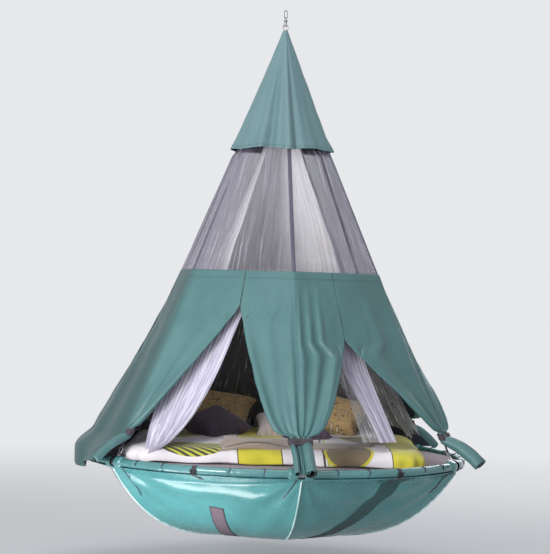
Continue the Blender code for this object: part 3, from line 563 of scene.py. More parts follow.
def webbing_finish(name, dark, light):
    band = Finish(name, light, 0.72, Sheen_Weight=0.2)
    uv = band.place()
    rib = band.wave(uv, RIBS * 0.05, "Y")
    twill = band.wave(band.place(turn=(0.0, 0.0, 0.7)), RIBS * 0.03, "X")
    wear = band.noise(band.place(kind="Object"), 30.0, 4.0)
    tone = band.maths("MULTIPLY_ADD", rib, 0.35, band.maths("MULTIPLY", wear, 0.6))
    band.to("Base Color", band.mix(tone, dark, light))
    band.raise_by((rib, 0.0006, 0.5), (twill, 0.0003, 0.3))
    return band.made


strap_web = webbing_finish("strap_webbing", (0.045, 0.040, 0.068), (0.125, 0.108, 0.165))
tie_web = webbing_finish("tie_webbing", (0.020, 0.015, 0.022), (0.060, 0.042, 0.060))
sling_web = webbing_finish("sling_webbing", (0.012, 0.012, 0.016), (0.050, 0.048, 0.058))


def cord_finish(name, colour, roughness, dark, light, turns, strength):
    """Twisted or piped cord, whose turns run slantwise."""
    cord = Finish(name, colour, roughness)
    twist = cord.wave(cord.place(kind="Object", turn=(0.5, 0.6, 0.4)), turns, "DIAGONAL")
    cord.to("Base Color", cord.mix(twist, dark, light))
    cord.raise_by((twist, 0.001, strength))
    return cord.made


cord_fibre = cord_finish(
    "lacing_cord", (0.055, 0.040, 0.060), 0.7, (0.025, 0.018, 0.028), (0.085, 0.062, 0.090), 14.0, 0.6
)


def metal_finish(name, colour, roughness):
    metal = Finish(name, colour, roughness, Metallic=1.0)
    body = metal.place(kind="Object")
    scratches = metal.noise(metal.place((1.0, 1.0, 7.0), kind="Object"), 240.0, 3.0, 0.7)
    cloudy = metal.noise(body, 45.0, 4.0)
    metal.to("Roughness", metal.ramp(cloudy, 0.3, 0.7, roughness * 0.75, roughness * 1.5))
    dull = tuple(c * 0.82 for c in colour)
    metal.to("Base Color", metal.mix(metal.ramp(cloudy, 0.35, 0.7), dull, colour))
    metal.raise_by((scratches, 0.0002, 0.3))
    return metal.made


steel = metal_finish("steel", (0.32, 0.32, 0.35), 0.32)

buckle = Finish("buckle_plastic", (0.012, 0.012, 0.014), 0.42)
grain = buckle.noise(buckle.place(kind="Object"), 900.0, 2.0)
buckle.to("Roughness", buckle.ramp(grain, 0.3, 0.7, 0.36, 0.52))
buckle.raise_by((grain, 0.0003, 0.3))
print("webbing and metal finishes ready")

# %% [markdown]
# ## Canvas panels
# The skirt is made of six panels, one round each strap. A closed side hangs straight down outside the
# ring. Beside a door, the cloth is rolled up along its free edge, drawn to the strap and tied, and its
# tail lies out over the ring. A grid that is laid by a function keeps all this in one cloth: its outer
# columns wind into the roll, its inner ones fold into pleats, and both fade out at the door's top.

# %% Lines of the canvas
CANVAS_TOP = 0.4443 * STRAP_RISE
CLOTH_OFF = 0.0134
SIDE_BULGE = 0.054
HEM_BULGE = 0.155
HEM_Z = -0.070
TIE_Z = 0.190
GATHER_Z = 0.2205
KNEE_Z = 0.158
GATHER_V = 8 / 12
KNEE_V = 9 / 12
TAIL_R = 1.43
TAIL_Z = 0.012
BUNDLE_HALF_W = 0.074
EDGE_LAP = 0.006
ROLL_FROM = 0.60
ROLL_R = 0.026
ROLL_TURNS = 1.35
ROLL_FADE = 0.12
SQUEEZE = 0.50
SQUEEZE_REACH = 0.036
PLEAT_DEPTH = 0.014
DRAPE_DEPTH = 0.024
WAVE_DEPTH = 0.020
TAIL_RISE = 0.025
RING_CLEAR = 0.045
DOOR_UNIT = 1.225
PANEL_GRID = (112, 120)
CURVES = {(0, "left"): 0.30, (0, "right"): 0.42, (2, "left"): 0.30, (1, "right"): 0.42}
TAIL_ROLLS = {(0, "left"): 0.020, (0, "right"): 0.038, (1, "left"): 0.040, (1, "right"): 0.034}
FANS = {(0, "left"): 2.2, (0, "right"): 2.6, (1, "left"): 1.6, (5, "right"): 1.8}


def corner_path(v):
    """Radius and height of a panel's middle line, with the tail that runs out over the ring."""
    if v <= GATHER_V:
        z = lerp(CANVAS_TOP, GATHER_Z, v / GATHER_V)
        return strap_radius(z) + CLOTH_OFF, z
    if v <= KNEE_V:
        z = lerp(GATHER_Z, KNEE_Z, (v - GATHER_V) / (KNEE_V - GATHER_V))
        return strap_radius(z) + CLOTH_OFF, z
    t = (v - KNEE_V) / (1.0 - KNEE_V)
    z = lerp(KNEE_Z, TAIL_Z, t) + TAIL_RISE * math.sin(math.pi * t)
    start = strap_radius(KNEE_Z) + CLOTH_OFF
    return lerp(start, TAIL_R, t ** 1.1), z


def drawn_half(share, v, apex, split, curve, tail_roll, fans):
    """A half panel beside a door: rolled along its edge, pleated, and drawn to its strap."""
    r, z = corner_path(v)
    base = strap_radius(max(z, KNEE_Z)) + CLOTH_OFF
    t = min(1.0, max(0.0, (z - GATHER_Z) / (apex - GATHER_Z)))
    if v > KNEE_V:
        t = 0.0
    gather = 1.0 - smooth(t)
    full = split * strap_radius(max(z, apex)) + EDGE_LAP
    width = lerp(BUNDLE_HALF_W, full, t ** curve)
    rolled = smooth((apex - z) / ROLL_FADE)
    roll_r = ROLL_R * (0.45 + 0.55 * gather) * rolled
    if v > GATHER_V:
        roll_r = lerp(roll_r, tail_roll, smooth((v - GATHER_V) / 0.14))
    squeeze = 1.0 - SQUEEZE * math.exp(-(((z - TIE_Z) / SQUEEZE_REACH) ** 2))
    roll_r *= squeeze
    flat = min(1.0, share / ROLL_FROM)
    body_x = lerp(share * width, flat * (width - roll_r), rolled)
    pleats = 0.55 * (1.0 - math.cos(3.0 * math.pi * flat))
    pleats += 0.30 * (1.0 - math.cos(7.0 * math.pi * flat + 0.6))
    depth = PLEAT_DEPTH * gather ** 1.4 * pleats * (1.0 - 0.5 * flat) * squeeze
    slant = fans * flat + 0.25 * math.sin(2.2 * z)
    ridge = (0.5 - 0.5 * math.cos(2.0 * math.pi * slant)) ** 1.4
    drape = DRAPE_DEPTH * ridge * smooth((CANVAS_TOP - z) / 0.60)
    drape = drape * (1.0 - 0.55 * gather) * smooth(flat / 0.15)
    drape *= smooth((z - 0.10) / 0.15) * (1.0 - (1.0 - rolled) * smooth((share - 0.75) / 0.25))
    point = side_point(base, body_x / base, SIDE_BULGE * (1.0 - gather))
    point.y = lerp(point.y, -base, 0.8 * gather)
    next_r, next_z = corner_path(min(1.0, v) + 0.01)
    run = math.hypot(next_r - r, next_z - z)
    turned = smooth((v - GATHER_V) / 0.12)
    off_y = lerp(1.0, (z - next_z) / run, turned)
    off_z = lerp(0.0, (next_r - r) / run, turned)
    lift = depth + drape + roll_r * smooth((flat - 0.55) / 0.45)
    if share > ROLL_FROM:
        turn = (share - ROLL_FROM) / (1.0 - ROLL_FROM)
        spin = turn * 2.0 * math.pi * ROLL_TURNS
        tight = roll_r * (1.0 - 0.30 * turn)
        point.x += math.sin(spin) * tight
        lift -= roll_r - math.cos(spin) * tight
    point.y -= (r - base) + lift * off_y
    point.z = z + lift * off_z
    return point


def hanging_half(share, v):
    """A half panel of a closed side, which hangs down outside the ring."""
    r, z = corner_path(v)
    drop = smooth(share * 1.6)
    height = lerp(z, lerp(CANVAS_TOP, HEM_Z, v), drop)
    cone = strap_radius(max(height, 0.0)) + CLOTH_OFF
    cone = lerp(cone, max(cone, RING_R + RING_CLEAR), smooth((0.170 - height) / 0.130))
    bulge = lerp(SIDE_BULGE, HEM_BULGE, smooth((CANVAS_TOP - height) / CANVAS_TOP))
    outer = lerp(r, cone, drop)
    reach = share * (0.5 * outer + 0.5 * EDGE_LAP)
    point = side_point(outer, reach / outer, bulge)
    waves = math.sin(2.6 * math.pi * share + 0.8) * math.sin(math.pi * min(1.0, share * 2.0) / 2.0)
    point.y -= WAVE_DEPTH * waves * smooth(v * 1.4) * (1.0 - smooth((share - 0.6) / 0.35))
    point.z = height
    return point


# %% Canvas panels
PANEL_SIZE = (1.32, 1.42)
PANEL_ROWS = (PANEL_SIZE[1] - 0.047, PANEL_SIZE[1] - 0.040, 0.020)
panel_cloth = canvas_finish("panel_canvas", CANVAS_DARK, CANVAS_LIGHT, PANEL_ROWS, shaded=True)
for k in range(CORNERS):
    right = DOORS.get(k)
    left = DOORS.get((k - 1) % CORNERS)

    def place(u, v, k=k, right=right, left=left):
        share = abs(2.0 * u - 1.0)
        hand = "left" if u < 0.5 else "right"
        door = left if hand == "left" else right
        if door is None:
            point = hanging_half(share, 1.0 - v)
        else:
            split = 1.0 - door[1] if hand == "left" else door[1]
            apex = door[0] * CANVAS_TOP / DOOR_UNIT
            curve, fans = CURVES.get((k, hand), 0.6), FANS.get((k, hand), 2.0)
            tail_roll = TAIL_ROLLS.get((k, hand), 0.028)
            point = drawn_half(share, 1.0 - v, apex, split, curve, tail_roll, fans)
        if hand == "left":
            point.x = -point.x
        else:
            point.y -= 0.0026 * smooth((share - 0.8) / 0.2)
        return point

    bm = cloth_grid(place, *PANEL_GRID, PANEL_SIZE, ring_frame(corner_angle(k)))
    crumple(bm, 0.0045, 7.0, seed=k + 1.0, keep_edges=0.8)
    sheet(f"canvas_{k}", bm, panel_cloth, f"canvas_panel_{k}", "canvas",
          CANVAS_T, inner=lining.made)

# %% [markdown]
# ## Hat
# A pointed cap over the straps' meeting point. Its six sides are flat near the tip and loosen
# downwards into soft folds, and the hem stands out a little, most of all at one flap on the right.

# %% Hat
HAT_TOP = STRAP_RISE + 0.088
HAT_HEM = 0.738 * STRAP_RISE
HAT_SIZE = (2.15, 0.90)
HAT_TIP_R = 0.017
HAT_FLARE = 0.004
FLAP_OUT = 0.024
FLAP_AT = 1.12
FLAP_WIDE = 0.16
HAT_FOLDS = (
    (5.60, 0.040, 0.095), (5.95, 0.016, 0.080), (0.15, 0.036, 0.090),
    (0.47, 0.014, 0.20), (1.30, 0.020, 0.25), (2.40, 0.030, 0.12),
    (3.30, 0.026, 0.15), (4.10, 0.030, 0.12), (4.85, 0.020, 0.20),
)


def hat_place(u, v):
    z = lerp(HAT_HEM, HAT_TOP, v)
    turn, side, share = on_sides(u)
    loose = (1.0 - v) ** 1.5
    corner = lerp(strap_radius(HAT_HEM) + CLOTH_OFF, HAT_TIP_R, v)
    bow = SIDE_BULGE + 0.035 * (1.0 - v) * math.sin(math.pi * share) * math.cos(4.0 * math.pi * share)
    point = side_point(corner, share, bow)
    valley = 0.0
    for centre, depth, wide in HAT_FOLDS:
        away = min(abs(turn - centre), CORNERS - abs(turn - centre))
        ridge = 0.35 * depth * math.exp(-((away / wide - 2.0) ** 2))
        valley += depth * math.exp(-((away / wide) ** 2)) - ridge
    flap = FLAP_OUT * math.exp(-(((turn - FLAP_AT) / FLAP_WIDE) ** 2)) * smooth((0.16 - v) / 0.16)
    flare = HAT_FLARE * smooth((0.10 - v) / 0.10)
    outward = Vector((point.x, point.y, 0.0)).normalized()
    point += outward * (flare + flap - valley * loose * 0.9 + 0.012 * loose)
    point.z = z - 0.006 * (1.0 - v) ** 6 * math.cos(2.0 * math.pi * turn)
    return Matrix.Rotation(side * CORNER_ANGLE, 3, "Z") @ point


hat_cloth = canvas_finish("hat_canvas", (0.105, 0.200, 0.222), (0.150, 0.262, 0.285), (0.018, 0.024))
bm = cloth_grid(hat_place, 420, 70, HAT_SIZE, ring_frame(corner_angle(0)), closed=True)
crumple(bm, 0.0018, 12.0, seed=4.0)
sheet("tent_hat", bm, hat_cloth, "hat", "hat_canvas",
      CANVAS_T, inner=lining.made)

# %% [markdown]
# ## Window band and net
# The clear band is one strip of film welded into a cone, held out by the straps and drawn into fine
# lengthwise crinkles. Inside it hangs the net: a bell from the peak, open at the front, whose two
# free edges are gathered more densely than its back.

# %% Window band
WINDOW_TOP = 0.7254 * STRAP_RISE
WINDOW_TUCK = 0.055
FILM_OFF = 0.0129
FILM_T = 0.0008
TUCK_IN = 0.026
BAND_SIZE = (4.0, 0.93)


def band_place(u, v):
    z = lerp(CANVAS_TOP - 0.012, WINDOW_TOP + WINDOW_TUCK, v)
    tuck = TUCK_IN * smooth((z - WINDOW_TOP + 0.01) / WINDOW_TUCK)
    turn, side, share = on_sides(u)
    bow = SIDE_BULGE * strap_radius(z) * math.sin(math.pi * share)
    pucker = math.sin(math.pi * share) * (
        0.0035 * math.sin(38.0 * turn + 3.0 * v) + 0.0025 * math.sin(71.0 * turn - 5.0 * v)
    )
    point = side_point(strap_radius(z) + FILM_OFF - 0.004 * (1.0 - v) - tuck, share, 0.0)
    outward = Vector((math.sin(CORNER_ANGLE / 2), -math.cos(CORNER_ANGLE / 2), 0.0))
    point += outward * (bow + pucker)
    point.z = z + 0.010 * math.sin(5.0 * turn) * math.sin(math.pi * share) * v ** 8
    return Matrix.Rotation(side * CORNER_ANGLE, 3, "Z") @ point


bm = cloth_grid(band_place, 360, 30, BAND_SIZE, ring_frame(corner_angle(0)), closed=True)
sheet("window_film", bm, film.made, "window_band", "film", FILM_T)

# %% Net
NET_NECK = 0.860 * STRAP_RISE
NET_HEM = 0.175
NET_SWEEP = math.radians(248.0)
NET_SIZE = (4.6, 2.65)
NET_TOP = STRAP_RISE - 0.0773
NET_TIP_R = 0.008
NET_FOOT_R = 0.835
NET_FLARE = 0.113
NET_T = 0.0006


def net_place(u, v):
    z = lerp(NET_HEM, NET_TOP, v ** 1.1)
    drop = max(0.0, (NET_NECK - z) / (NET_NECK - NET_HEM))
    radius = lerp(NET_TIP_R, NET_FOOT_R, drop) + NET_FLARE * drop ** 6
    edge = max(smooth(1.0 - u / 0.16), smooth(1.0 - (1.0 - u) / 0.16))
    fine = 0.012 * math.cos(u * 2 * math.pi * 31 + 2.0 * math.sin(9.0 * z))
    folds = math.cos(u * 2 * math.pi * 10) * 0.022 + fine
    folds += 0.016 * edge * math.cos(u * 2 * math.pi * 62)
    radius *= 1.0 + folds * min(1.0, 3.0 * drop)
    angle = corner_angle(1) + math.radians(-4.0) + u * NET_SWEEP
    z += 0.012 * (1.0 - v) ** 8 * math.cos(u * 2 * math.pi * 17)
    return round_point(radius, angle, z)


bm = cloth_grid(net_place, 420, 60, NET_SIZE, ring_frame())
sheet("inner_net", bm, net_cloth.made, "net", "net", NET_T, 80.0)

# %% [markdown]
# ## Hull
# Under the bed hangs a bowl of coated cloth, cut in six gores and sewn along the lines that run from
# the ring's corners to the pole. The cloth is pulled tight between two seams, so it goes inward from
# the round tube to the straight line between the corners, and folds there in a soft crease. One
# function gives every point of that surface, and the piping, the patch and the belt follow it.

# %% Hull surface
HULL_DEPTH = 0.506
HULL_POWER = 4.1
HULL_FLAT = 0.93
COLLAR_R = 0.0363
HULL_SPIN = math.radians(50.0)
POLE_R = 0.11
GORE_SIZE = (1.36, 1.42)
SHELF_OUT = 0.017
FAN_DEPTH = 0.010
DENT_DEPTH = 0.010
FINE_DENT = 0.0035
HULL_TOP_R = RING_R + COLLAR_R * math.cos(HULL_SPIN)
HULL_TOP_Z = -COLLAR_R * math.sin(HULL_SPIN)


def hull_profile(v):
    """Radius and height down a seam, v from the ring to the pole."""
    share = 1.0 - (1.0 - POLE_R / HULL_TOP_R) * max(0.0, v) ** 1.15
    return HULL_TOP_R * share, HULL_TOP_Z - (HULL_DEPTH + HULL_TOP_Z) * (1.0 - share ** HULL_POWER)


def slack(k, u, v, side, crease):
    """How far the gore's cloth stands out from the tight line at a place."""
    shelf = SHELF_OUT * side ** 0.7 * math.exp(-(((v - crease - 0.050) / 0.045) ** 2))
    fan = 0.0
    for across, seed in ((u, 1.3), (1.0 - u, 4.1)):
        reach = math.hypot(across * 1.33, v * 1.4)
        angle = math.atan2(v * 1.4, across * 1.33)
        fade = smooth(reach / 0.06) * math.exp(-((reach / 0.45) ** 2))
        fan += FAN_DEPTH * fade * math.cos(10.5 * angle + seed + 0.5 * k)
    spot = Vector((u * 2.6 + 3.7 * k, v * 3.0, 0.4 * k))
    dents = DENT_DEPTH * noise.noise(spot) + FINE_DENT * noise.noise(spot * 3.1)
    return shelf + (fan + dents) * side ** 0.5 * smooth(v / 0.05) * (1.0 - smooth((v - 0.90) / 0.10))


def hull_point(k, u, v, out=0.0):
    """Point of gore k: u from its left corner to its right one, v from the ring to the pole."""
    r, z = hull_profile(v)
    low_r, low_z = hull_profile(v + 0.01)
    high_r, high_z = hull_profile(v - 0.01)
    down = math.hypot(low_r - high_r, low_z - high_z)
    side = max(0.0, math.sin(math.pi * u))
    crease = 0.020 + 0.032 * side
    chord = math.cos(CORNER_ANGLE / 2) / math.cos((u - 0.5) * CORNER_ANGLE)
    r *= lerp(1.0, chord, HULL_FLAT * min(1.0, max(0.0, v) / crease))
    push = slack(k, u, v, side, crease) + out
    r += push * (high_z - low_z) / down
    z += push * (low_r - high_r) / down
    return round_point(r, corner_angle(k) + u * CORNER_ANGLE, z)


HULL_T = 0.0016
for k in range(CORNERS):
    bm = cloth_grid(lambda u, v, k=k: hull_point(k, u, 1.0 - v), 110, 96, GORE_SIZE, ring_frame())
    sheet(f"hull_cloth_{k}", bm, hull_coat, f"hull_gore_{k}", "hull",
          HULL_T)

# %% [markdown]
# ## Piping, patch and belt
# The seams are covered by a pale welted cord. A strip with bound edges is sewn to the left gore, and
# a broad belt runs down the right one, coloured with painted shade: dark teal by the ring, brown-black
# at the foot. Both are strips of cloth laid a little above the gore.

# %% Hull trim
PIPING_LIGHT = (0.58, 0.76, 0.75)
PIPING_R = 0.0052
PIPING_OUT = 0.0025
STRIP_OUT = 0.0030
piping_finish = cord_finish("pale_piping", PIPING_LIGHT, 0.6, (0.38, 0.56, 0.56), PIPING_LIGHT, 12.0, 0.5)
bm = bmesh.new()
for k in range(CORNERS):
    seam = [hull_point(k, 0.0, lerp(0.012, 1.0, i / 60), PIPING_OUT) for i in range(61)]
    add_to(bm, tube(seam, PIPING_R, 10))
bmesh.ops.transform(bm, matrix=ring_frame(), verts=bm.verts)
piece("hull_piping", bm, piping_finish, "tent", slot="hull")


def on_gore(k, start, end, columns, rows, size):
    """A straight strip on gore k, from one (u, v) to another, of even width."""
    first = hull_point(k, *start)
    last = hull_point(k, *end)
    run = (last - first).normalized()
    middle = hull_point(k, (start[0] + end[0]) / 2.0, (start[1] + end[1]) / 2.0)
    sideways = run.cross(Vector((middle.x, middle.y, middle.z + 0.2))).normalized()

    def place(u, v):
        us = lerp(start[0], end[0], 1.0 - v)
        vs = lerp(start[1], end[1], 1.0 - v)
        here = hull_point(k, us, vs)
        du = hull_point(k, us + 0.01, vs) - here
        dv = hull_point(k, us, vs + 0.01) - here
        aim = sideways * (u - 0.5) * size[0]
        a, b, c = du.dot(du), du.dot(dv), dv.dot(dv)
        p, q = aim.dot(du), aim.dot(dv)
        det = a * c - b * b
        step_u = (p * c - q * b) / det
        step_v = (a * q - b * p) / det
        return hull_point(k, us + 0.01 * step_u, min(1.0, max(0.0, vs + 0.01 * step_v)), STRIP_OUT)

    return cloth_grid(place, columns, rows, size, ring_frame())


STRIP_SIZE = (0.095, 0.47)
strip = Finish("patch_cloth", (0.14, 0.10, 0.13), 0.75)
strip_uv = strip.place()
across = strip.parts(strip_uv)[0]
along = strip.parts(strip_uv)[1]
rim = strip.maths("ABSOLUTE", strip.maths("SUBTRACT", across, STRIP_SIZE[0] / 2))
bound = strip.maths("GREATER_THAN", rim, STRIP_SIZE[0] / 2 - 0.009)
ends = strip.maths("ABSOLUTE", strip.maths("SUBTRACT", along, STRIP_SIZE[1] / 2))
bound = strip.maths("MAXIMUM", bound, strip.maths("GREATER_THAN", ends, STRIP_SIZE[1] / 2 - 0.010))
felt = strip.noise(strip_uv, 90.0, 5.0, 0.7)
plain = strip.mix(strip.ramp(felt, 0.3, 0.7), (0.095, 0.068, 0.088), (0.175, 0.128, 0.160))
strip.to("Base Color", strip.mix(bound, plain, (0.07, 0.06, 0.075)))
strip.raise_by((felt, 0.002, 0.5), (strip.weave(strip_uv, 700.0), 0.0004, 0.3), (bound, 0.0015, 0.6))
bm = on_gore(5, (0.512, 0.205), (0.440, 0.590), 10, 70, STRIP_SIZE)
patch = piece("hull_strip", bm, strip.made, "tent", slot="hull", wall=HULL_T)

BELT_SIZE = (0.135, 0.86)
shaded_belt = Finish("shaded_belt", (0.05, 0.07, 0.07), 0.6)
belt_uv = shaded_belt.place()
far = shaded_belt.ramp(shaded_belt.parts(belt_uv)[1], 0.10, 0.75)
belt_noise = shaded_belt.noise(shaded_belt.place(kind="Object"), 16.0, 5.0, 0.6)
# Painted shade: the belt is dark teal by the ring and brown-black at its foot.
shade = shaded_belt.maths("MULTIPLY_ADD", shaded_belt.ramp(belt_noise, 0.35, 0.65), 0.3, far, clamp=True)
shaded_belt.to("Base Color", shaded_belt.mix(shade, (0.040, 0.030, 0.034), (0.030, 0.095, 0.098)))
belt_rib = shaded_belt.wave(belt_uv, 30.0, "X")
shaded_belt.raise_by((belt_rib, 0.0008, 0.5), (belt_noise, 0.003, 0.3))
bm = on_gore(0, (0.600, 0.012), (0.300, 0.640), 12, 90, BELT_SIZE)
belt = piece("hull_belt", bm, shaded_belt.made, "tent", slot="hull", wall=HULL_T)
belt_area = sum(p.area for p in belt.data.polygons)
print("belt", round(belt_area, 3), "square metres")

# %% [markdown]
# ## Ring
# The tube is covered by a sewn sleeve, which wrinkles where it is laced tight. A dark cord passes
# round the tube at each eyelet of the bed cloth, and in the middle of each side a short strap with a
# buckle pulls the hull and the bed cloth together.

# %% Ring sleeve and lacing
TUBE_R = 0.0262
TUBE_GIRTH = 0.165
SLEEVE_RUN = 1.30
SLEEVE_T = 0.0014
COLLAR_RISE = 0.0112
COLLAR_HALF = math.radians(3.0)
EYELETS = (0.17, 0.33, 0.67, 0.83)
LACE_R = 0.0028
LACE_OUT = 0.0018
LACE_TUCK = 0.0022
LACE_FROM = math.radians(-12.0)
LACE_SWEEP = math.radians(190.0)


def ring_point(angle, spin, radius):
    """Point on a tube round the ring: spin 0 is outwards, a quarter turn is up."""
    r = RING_R + radius * math.cos(spin)
    return round_point(r, angle, radius * math.sin(spin))


def sleeve_radius(k, u, spin):
    """The sleeve is drawn in under each lace, and puckers beside it."""
    tight = 0.0
    for spot in EYELETS + (0.5,):
        away = (u - spot) * 1.31
        tight += 0.0022 * math.exp(-((away / 0.009) ** 2))
        tight -= 0.0009 * math.exp(-(((abs(away) - 0.022) / 0.012) ** 2))
    here = Vector((u * 22.0 + 7.0 * k, math.cos(spin) * 1.6, math.sin(spin) * 1.6))
    puckers = 0.0011 * noise.noise(here) + 0.0005 * noise.noise(here * 2.7)
    return TUBE_R - tight + puckers


for k in range(CORNERS):
    def place(u, v, k=k):
        share = lerp(0.016, 0.984, v)
        spin = 2.0 * math.pi * u
        from_corner = min(share, 1.0 - share) * CORNER_ANGLE
        over = smooth((COLLAR_HALF * 1.25 - from_corner) / (COLLAR_HALF * 0.22))
        radius = sleeve_radius(k, share, spin) + COLLAR_RISE * over
        return ring_point(corner_angle(k) + share * CORNER_ANGLE, -spin, radius)

    bm = cloth_grid(place, 28, 190, (TUBE_GIRTH, SLEEVE_RUN), ring_frame(), closed=True)
    piece(f"ring_sleeve_{k}", bm, sleeve_coat, "tent", (f"ring_tube_{k}",), "ring_sleeve", wall=SLEEVE_T)

bm = bmesh.new()
for k in range(CORNERS):
    for spot in EYELETS:
        loop = []
        for i in range(25):
            spin = LACE_FROM + LACE_SWEEP * i / 24
            angle = corner_angle(k) + spot * CORNER_ANGLE + 0.0040 * math.sin(2.0 * spin) / RING_R
            radius = TUBE_R + LACE_OUT - LACE_TUCK * smooth((i - 21) / 3) - LACE_TUCK * smooth((3 - i) / 3)
            loop.append(ring_point(angle, spin, radius))
        add_to(bm, tube(loop, LACE_R, 8))
bmesh.ops.transform(bm, matrix=ring_frame(), verts=bm.verts)
piece("ring_lacing", bm, cord_fibre, "tent", slot="ring_sleeve")

# %% Buckle straps and small cords
BAND_W = 0.026
WRAP_FROM = math.radians(-158.0)
WRAP_TO = math.radians(172.0)
BUCKLE_OUT = 0.0275
BUCKLE_DROP = 0.008
BUCKLE_LEAN = math.radians(14.0)
BAR_OUT = -0.003
BARS = (
    ((0.040, 0.008, 0.006), (0.0, BAR_OUT, 0.014)),
    ((0.040, 0.008, 0.006), (0.0, BAR_OUT, -0.014)),
    ((0.034, 0.007, 0.005), (0.0, BAR_OUT, 0.0)),
    ((0.006, 0.008, 0.034), (-0.017, BAR_OUT, 0.0)),
    ((0.006, 0.008, 0.034), (0.017, BAR_OUT, 0.0)),
)
bm = bmesh.new()
grips = bmesh.new()
for k in range(CORNERS):
    middle = corner_angle(k) + CORNER_ANGLE / 2.0

    def wrap(u, v, middle=middle):
        spin = lerp(WRAP_FROM, WRAP_TO, v)
        swell = 0.0008 * math.sin(5.0 * spin + middle)
        return ring_point(middle + (u - 0.5) * BAND_W / RING_R, -spin, TUBE_R + 0.0030 + swell)

    add_to(bm, cloth_grid(wrap, 4, 44, (BAND_W, TUBE_GIRTH)))

    def tongue(u, v, k=k):
        return hull_point(k, 0.5 + (u - 0.5) * BAND_W / 1.33, 0.034 * (1.0 - v), 0.0035)

    add_to(bm, cloth_grid(tongue, 4, 10, (BAND_W, 0.05)))
    buckle_at = Matrix.Translation((0.0, -RING_R - BUCKLE_OUT, -BUCKLE_DROP))
    frame_matrix = Matrix.Rotation(middle, 4, "Z") @ buckle_at @ Matrix.Rotation(BUCKLE_LEAN, 4, "X")
    for size, spot in BARS:
        box = bmesh.new()
        bmesh.ops.create_cube(box, size=1.0)
        bmesh.ops.scale(box, vec=size, verts=box.verts)
        bmesh.ops.translate(box, vec=spot, verts=box.verts)
        bmesh.ops.bevel(
            box, geom=box.edges, offset=0.0014, segments=2, profile=0.5, affect="EDGES", material=-1
        )
        bmesh.ops.transform(box, matrix=frame_matrix, verts=box.verts)
        add_to(grips, box)
bmesh.ops.transform(bm, matrix=ring_frame(), verts=bm.verts)
bmesh.ops.transform(grips, matrix=ring_frame(), verts=grips.verts)
piece("ring_buckle_straps", bm, tie_web, "tent", slot="ring_fitting", wall=0.0022)
piece("ring_buckles", grips, buckle.made, "tent", slot="ring_fitting")

HULL_CORD_D = 0.006
HULL_CORD_OUT = 0.0044
CORD_RUNS = {
    "hull_cord_left": (5, ((0.080, 0.0), (0.062, 0.055), (0.066, 0.115), (0.058, 0.160))),
    "hull_cord_front": (5, ((0.978, 0.0), (0.968, 0.030), (0.950, 0.067), (0.922, 0.110))),
    "hull_cord_right": (0, ((0.945, 0.0), (0.940, 0.035), (0.925, 0.070), (0.920, 0.120))),
    "hull_cord_back": (2, ((0.060, 0.0), (0.070, 0.035), (0.075, 0.080), (0.090, 0.130))),
}


def curve_through(points, steps):
    """A smooth line through points, as a list of points close together."""
    line = []
    ends = [points[0] * 2 - points[1], *points, points[-1] * 2 - points[-2]]
    for i in range(1, len(ends) - 2):
        a, b, c, d = ends[i - 1:i + 3]
        for j in range(steps):
            t = j / steps
            square = (2 * a - 5 * b + 4 * c - d) * t ** 2
            cube = (3 * b - a - 3 * c + d) * t ** 3
            line.append(0.5 * (2 * b + (c - a) * t + square + cube))
    return line + [points[-1]]


def cord_length(line):
    return sum((b - a).length for a, b in zip(line, line[1:]))


for name, (k, stops) in CORD_RUNS.items():
    stops = [ring_frame() @ hull_point(k, u, v, HULL_CORD_OUT) for u, v in stops]
    line = curve_through(stops, 12)
    cord = piece(name, tube(line, HULL_CORD_D / 2, 8), cord_fibre, "tent", slot="ring_sleeve")
    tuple(line[0])
    cord_length(line)
    print(name, round(cord_length(line), 3), "m")

# %% [markdown]
# ## Straps and ties
# The tent hangs on six flat webbing straps. Each one goes down to a steel link at its corner, turns
# round the link and is sewn back onto itself. Webbing is a woven band, so it is drawn as a ribbon
# with a UV map in metres, and its ribs come from that map.

# %% Strap lines
STRAP_W = 0.025
STRAP_T = 0.0025
EYE_R = 0.00455
EYE_REACH = 0.0991
EYE_CLOSE = 0.018
EYE_TAIL = 0.085
STRAP_LENGTH = 2.9765
TIE_W = 0.045
TIE_HALF_W = 0.07555
TAB_Y = -strap_radius(TIE_Z) - 0.00259


def on_strap(along, out=0.0):
    """Point on a strap's line, by its distance up from the ring's centreline."""
    return Vector((0.0, -RING_R, 0.0)) + STRAP_DIR * along + STRAP_OUT * out


def arc(centre, across, up, radius, start, end, count):
    step = (end - start) / count
    angles = [start + step * i for i in range(count + 1)]
    return [centre + (across * math.cos(a) + up * math.sin(a)) * radius for a in angles]


def ribbon(path, width, columns=4, across=X, frame_matrix=None):
    """A band laid along a path, with v in metres along it."""
    lengths = [0.0]
    for a, b in zip(path, path[1:]):
        lengths.append(lengths[-1] + (b - a).length)

    def place(u, v):
        return on_line(path, v) + across * (u - 0.5) * width

    bm = cloth_grid(place, columns, len(path) - 1, (width, 1.0), frame_matrix)
    uv = bm.loops.layers.uv["cloth"]
    for face in bm.faces:
        for loop in face.loops:
            row = round(loop[uv].uv.y * (len(path) - 1))
            loop[uv].uv.y = lengths[row]
    return bm


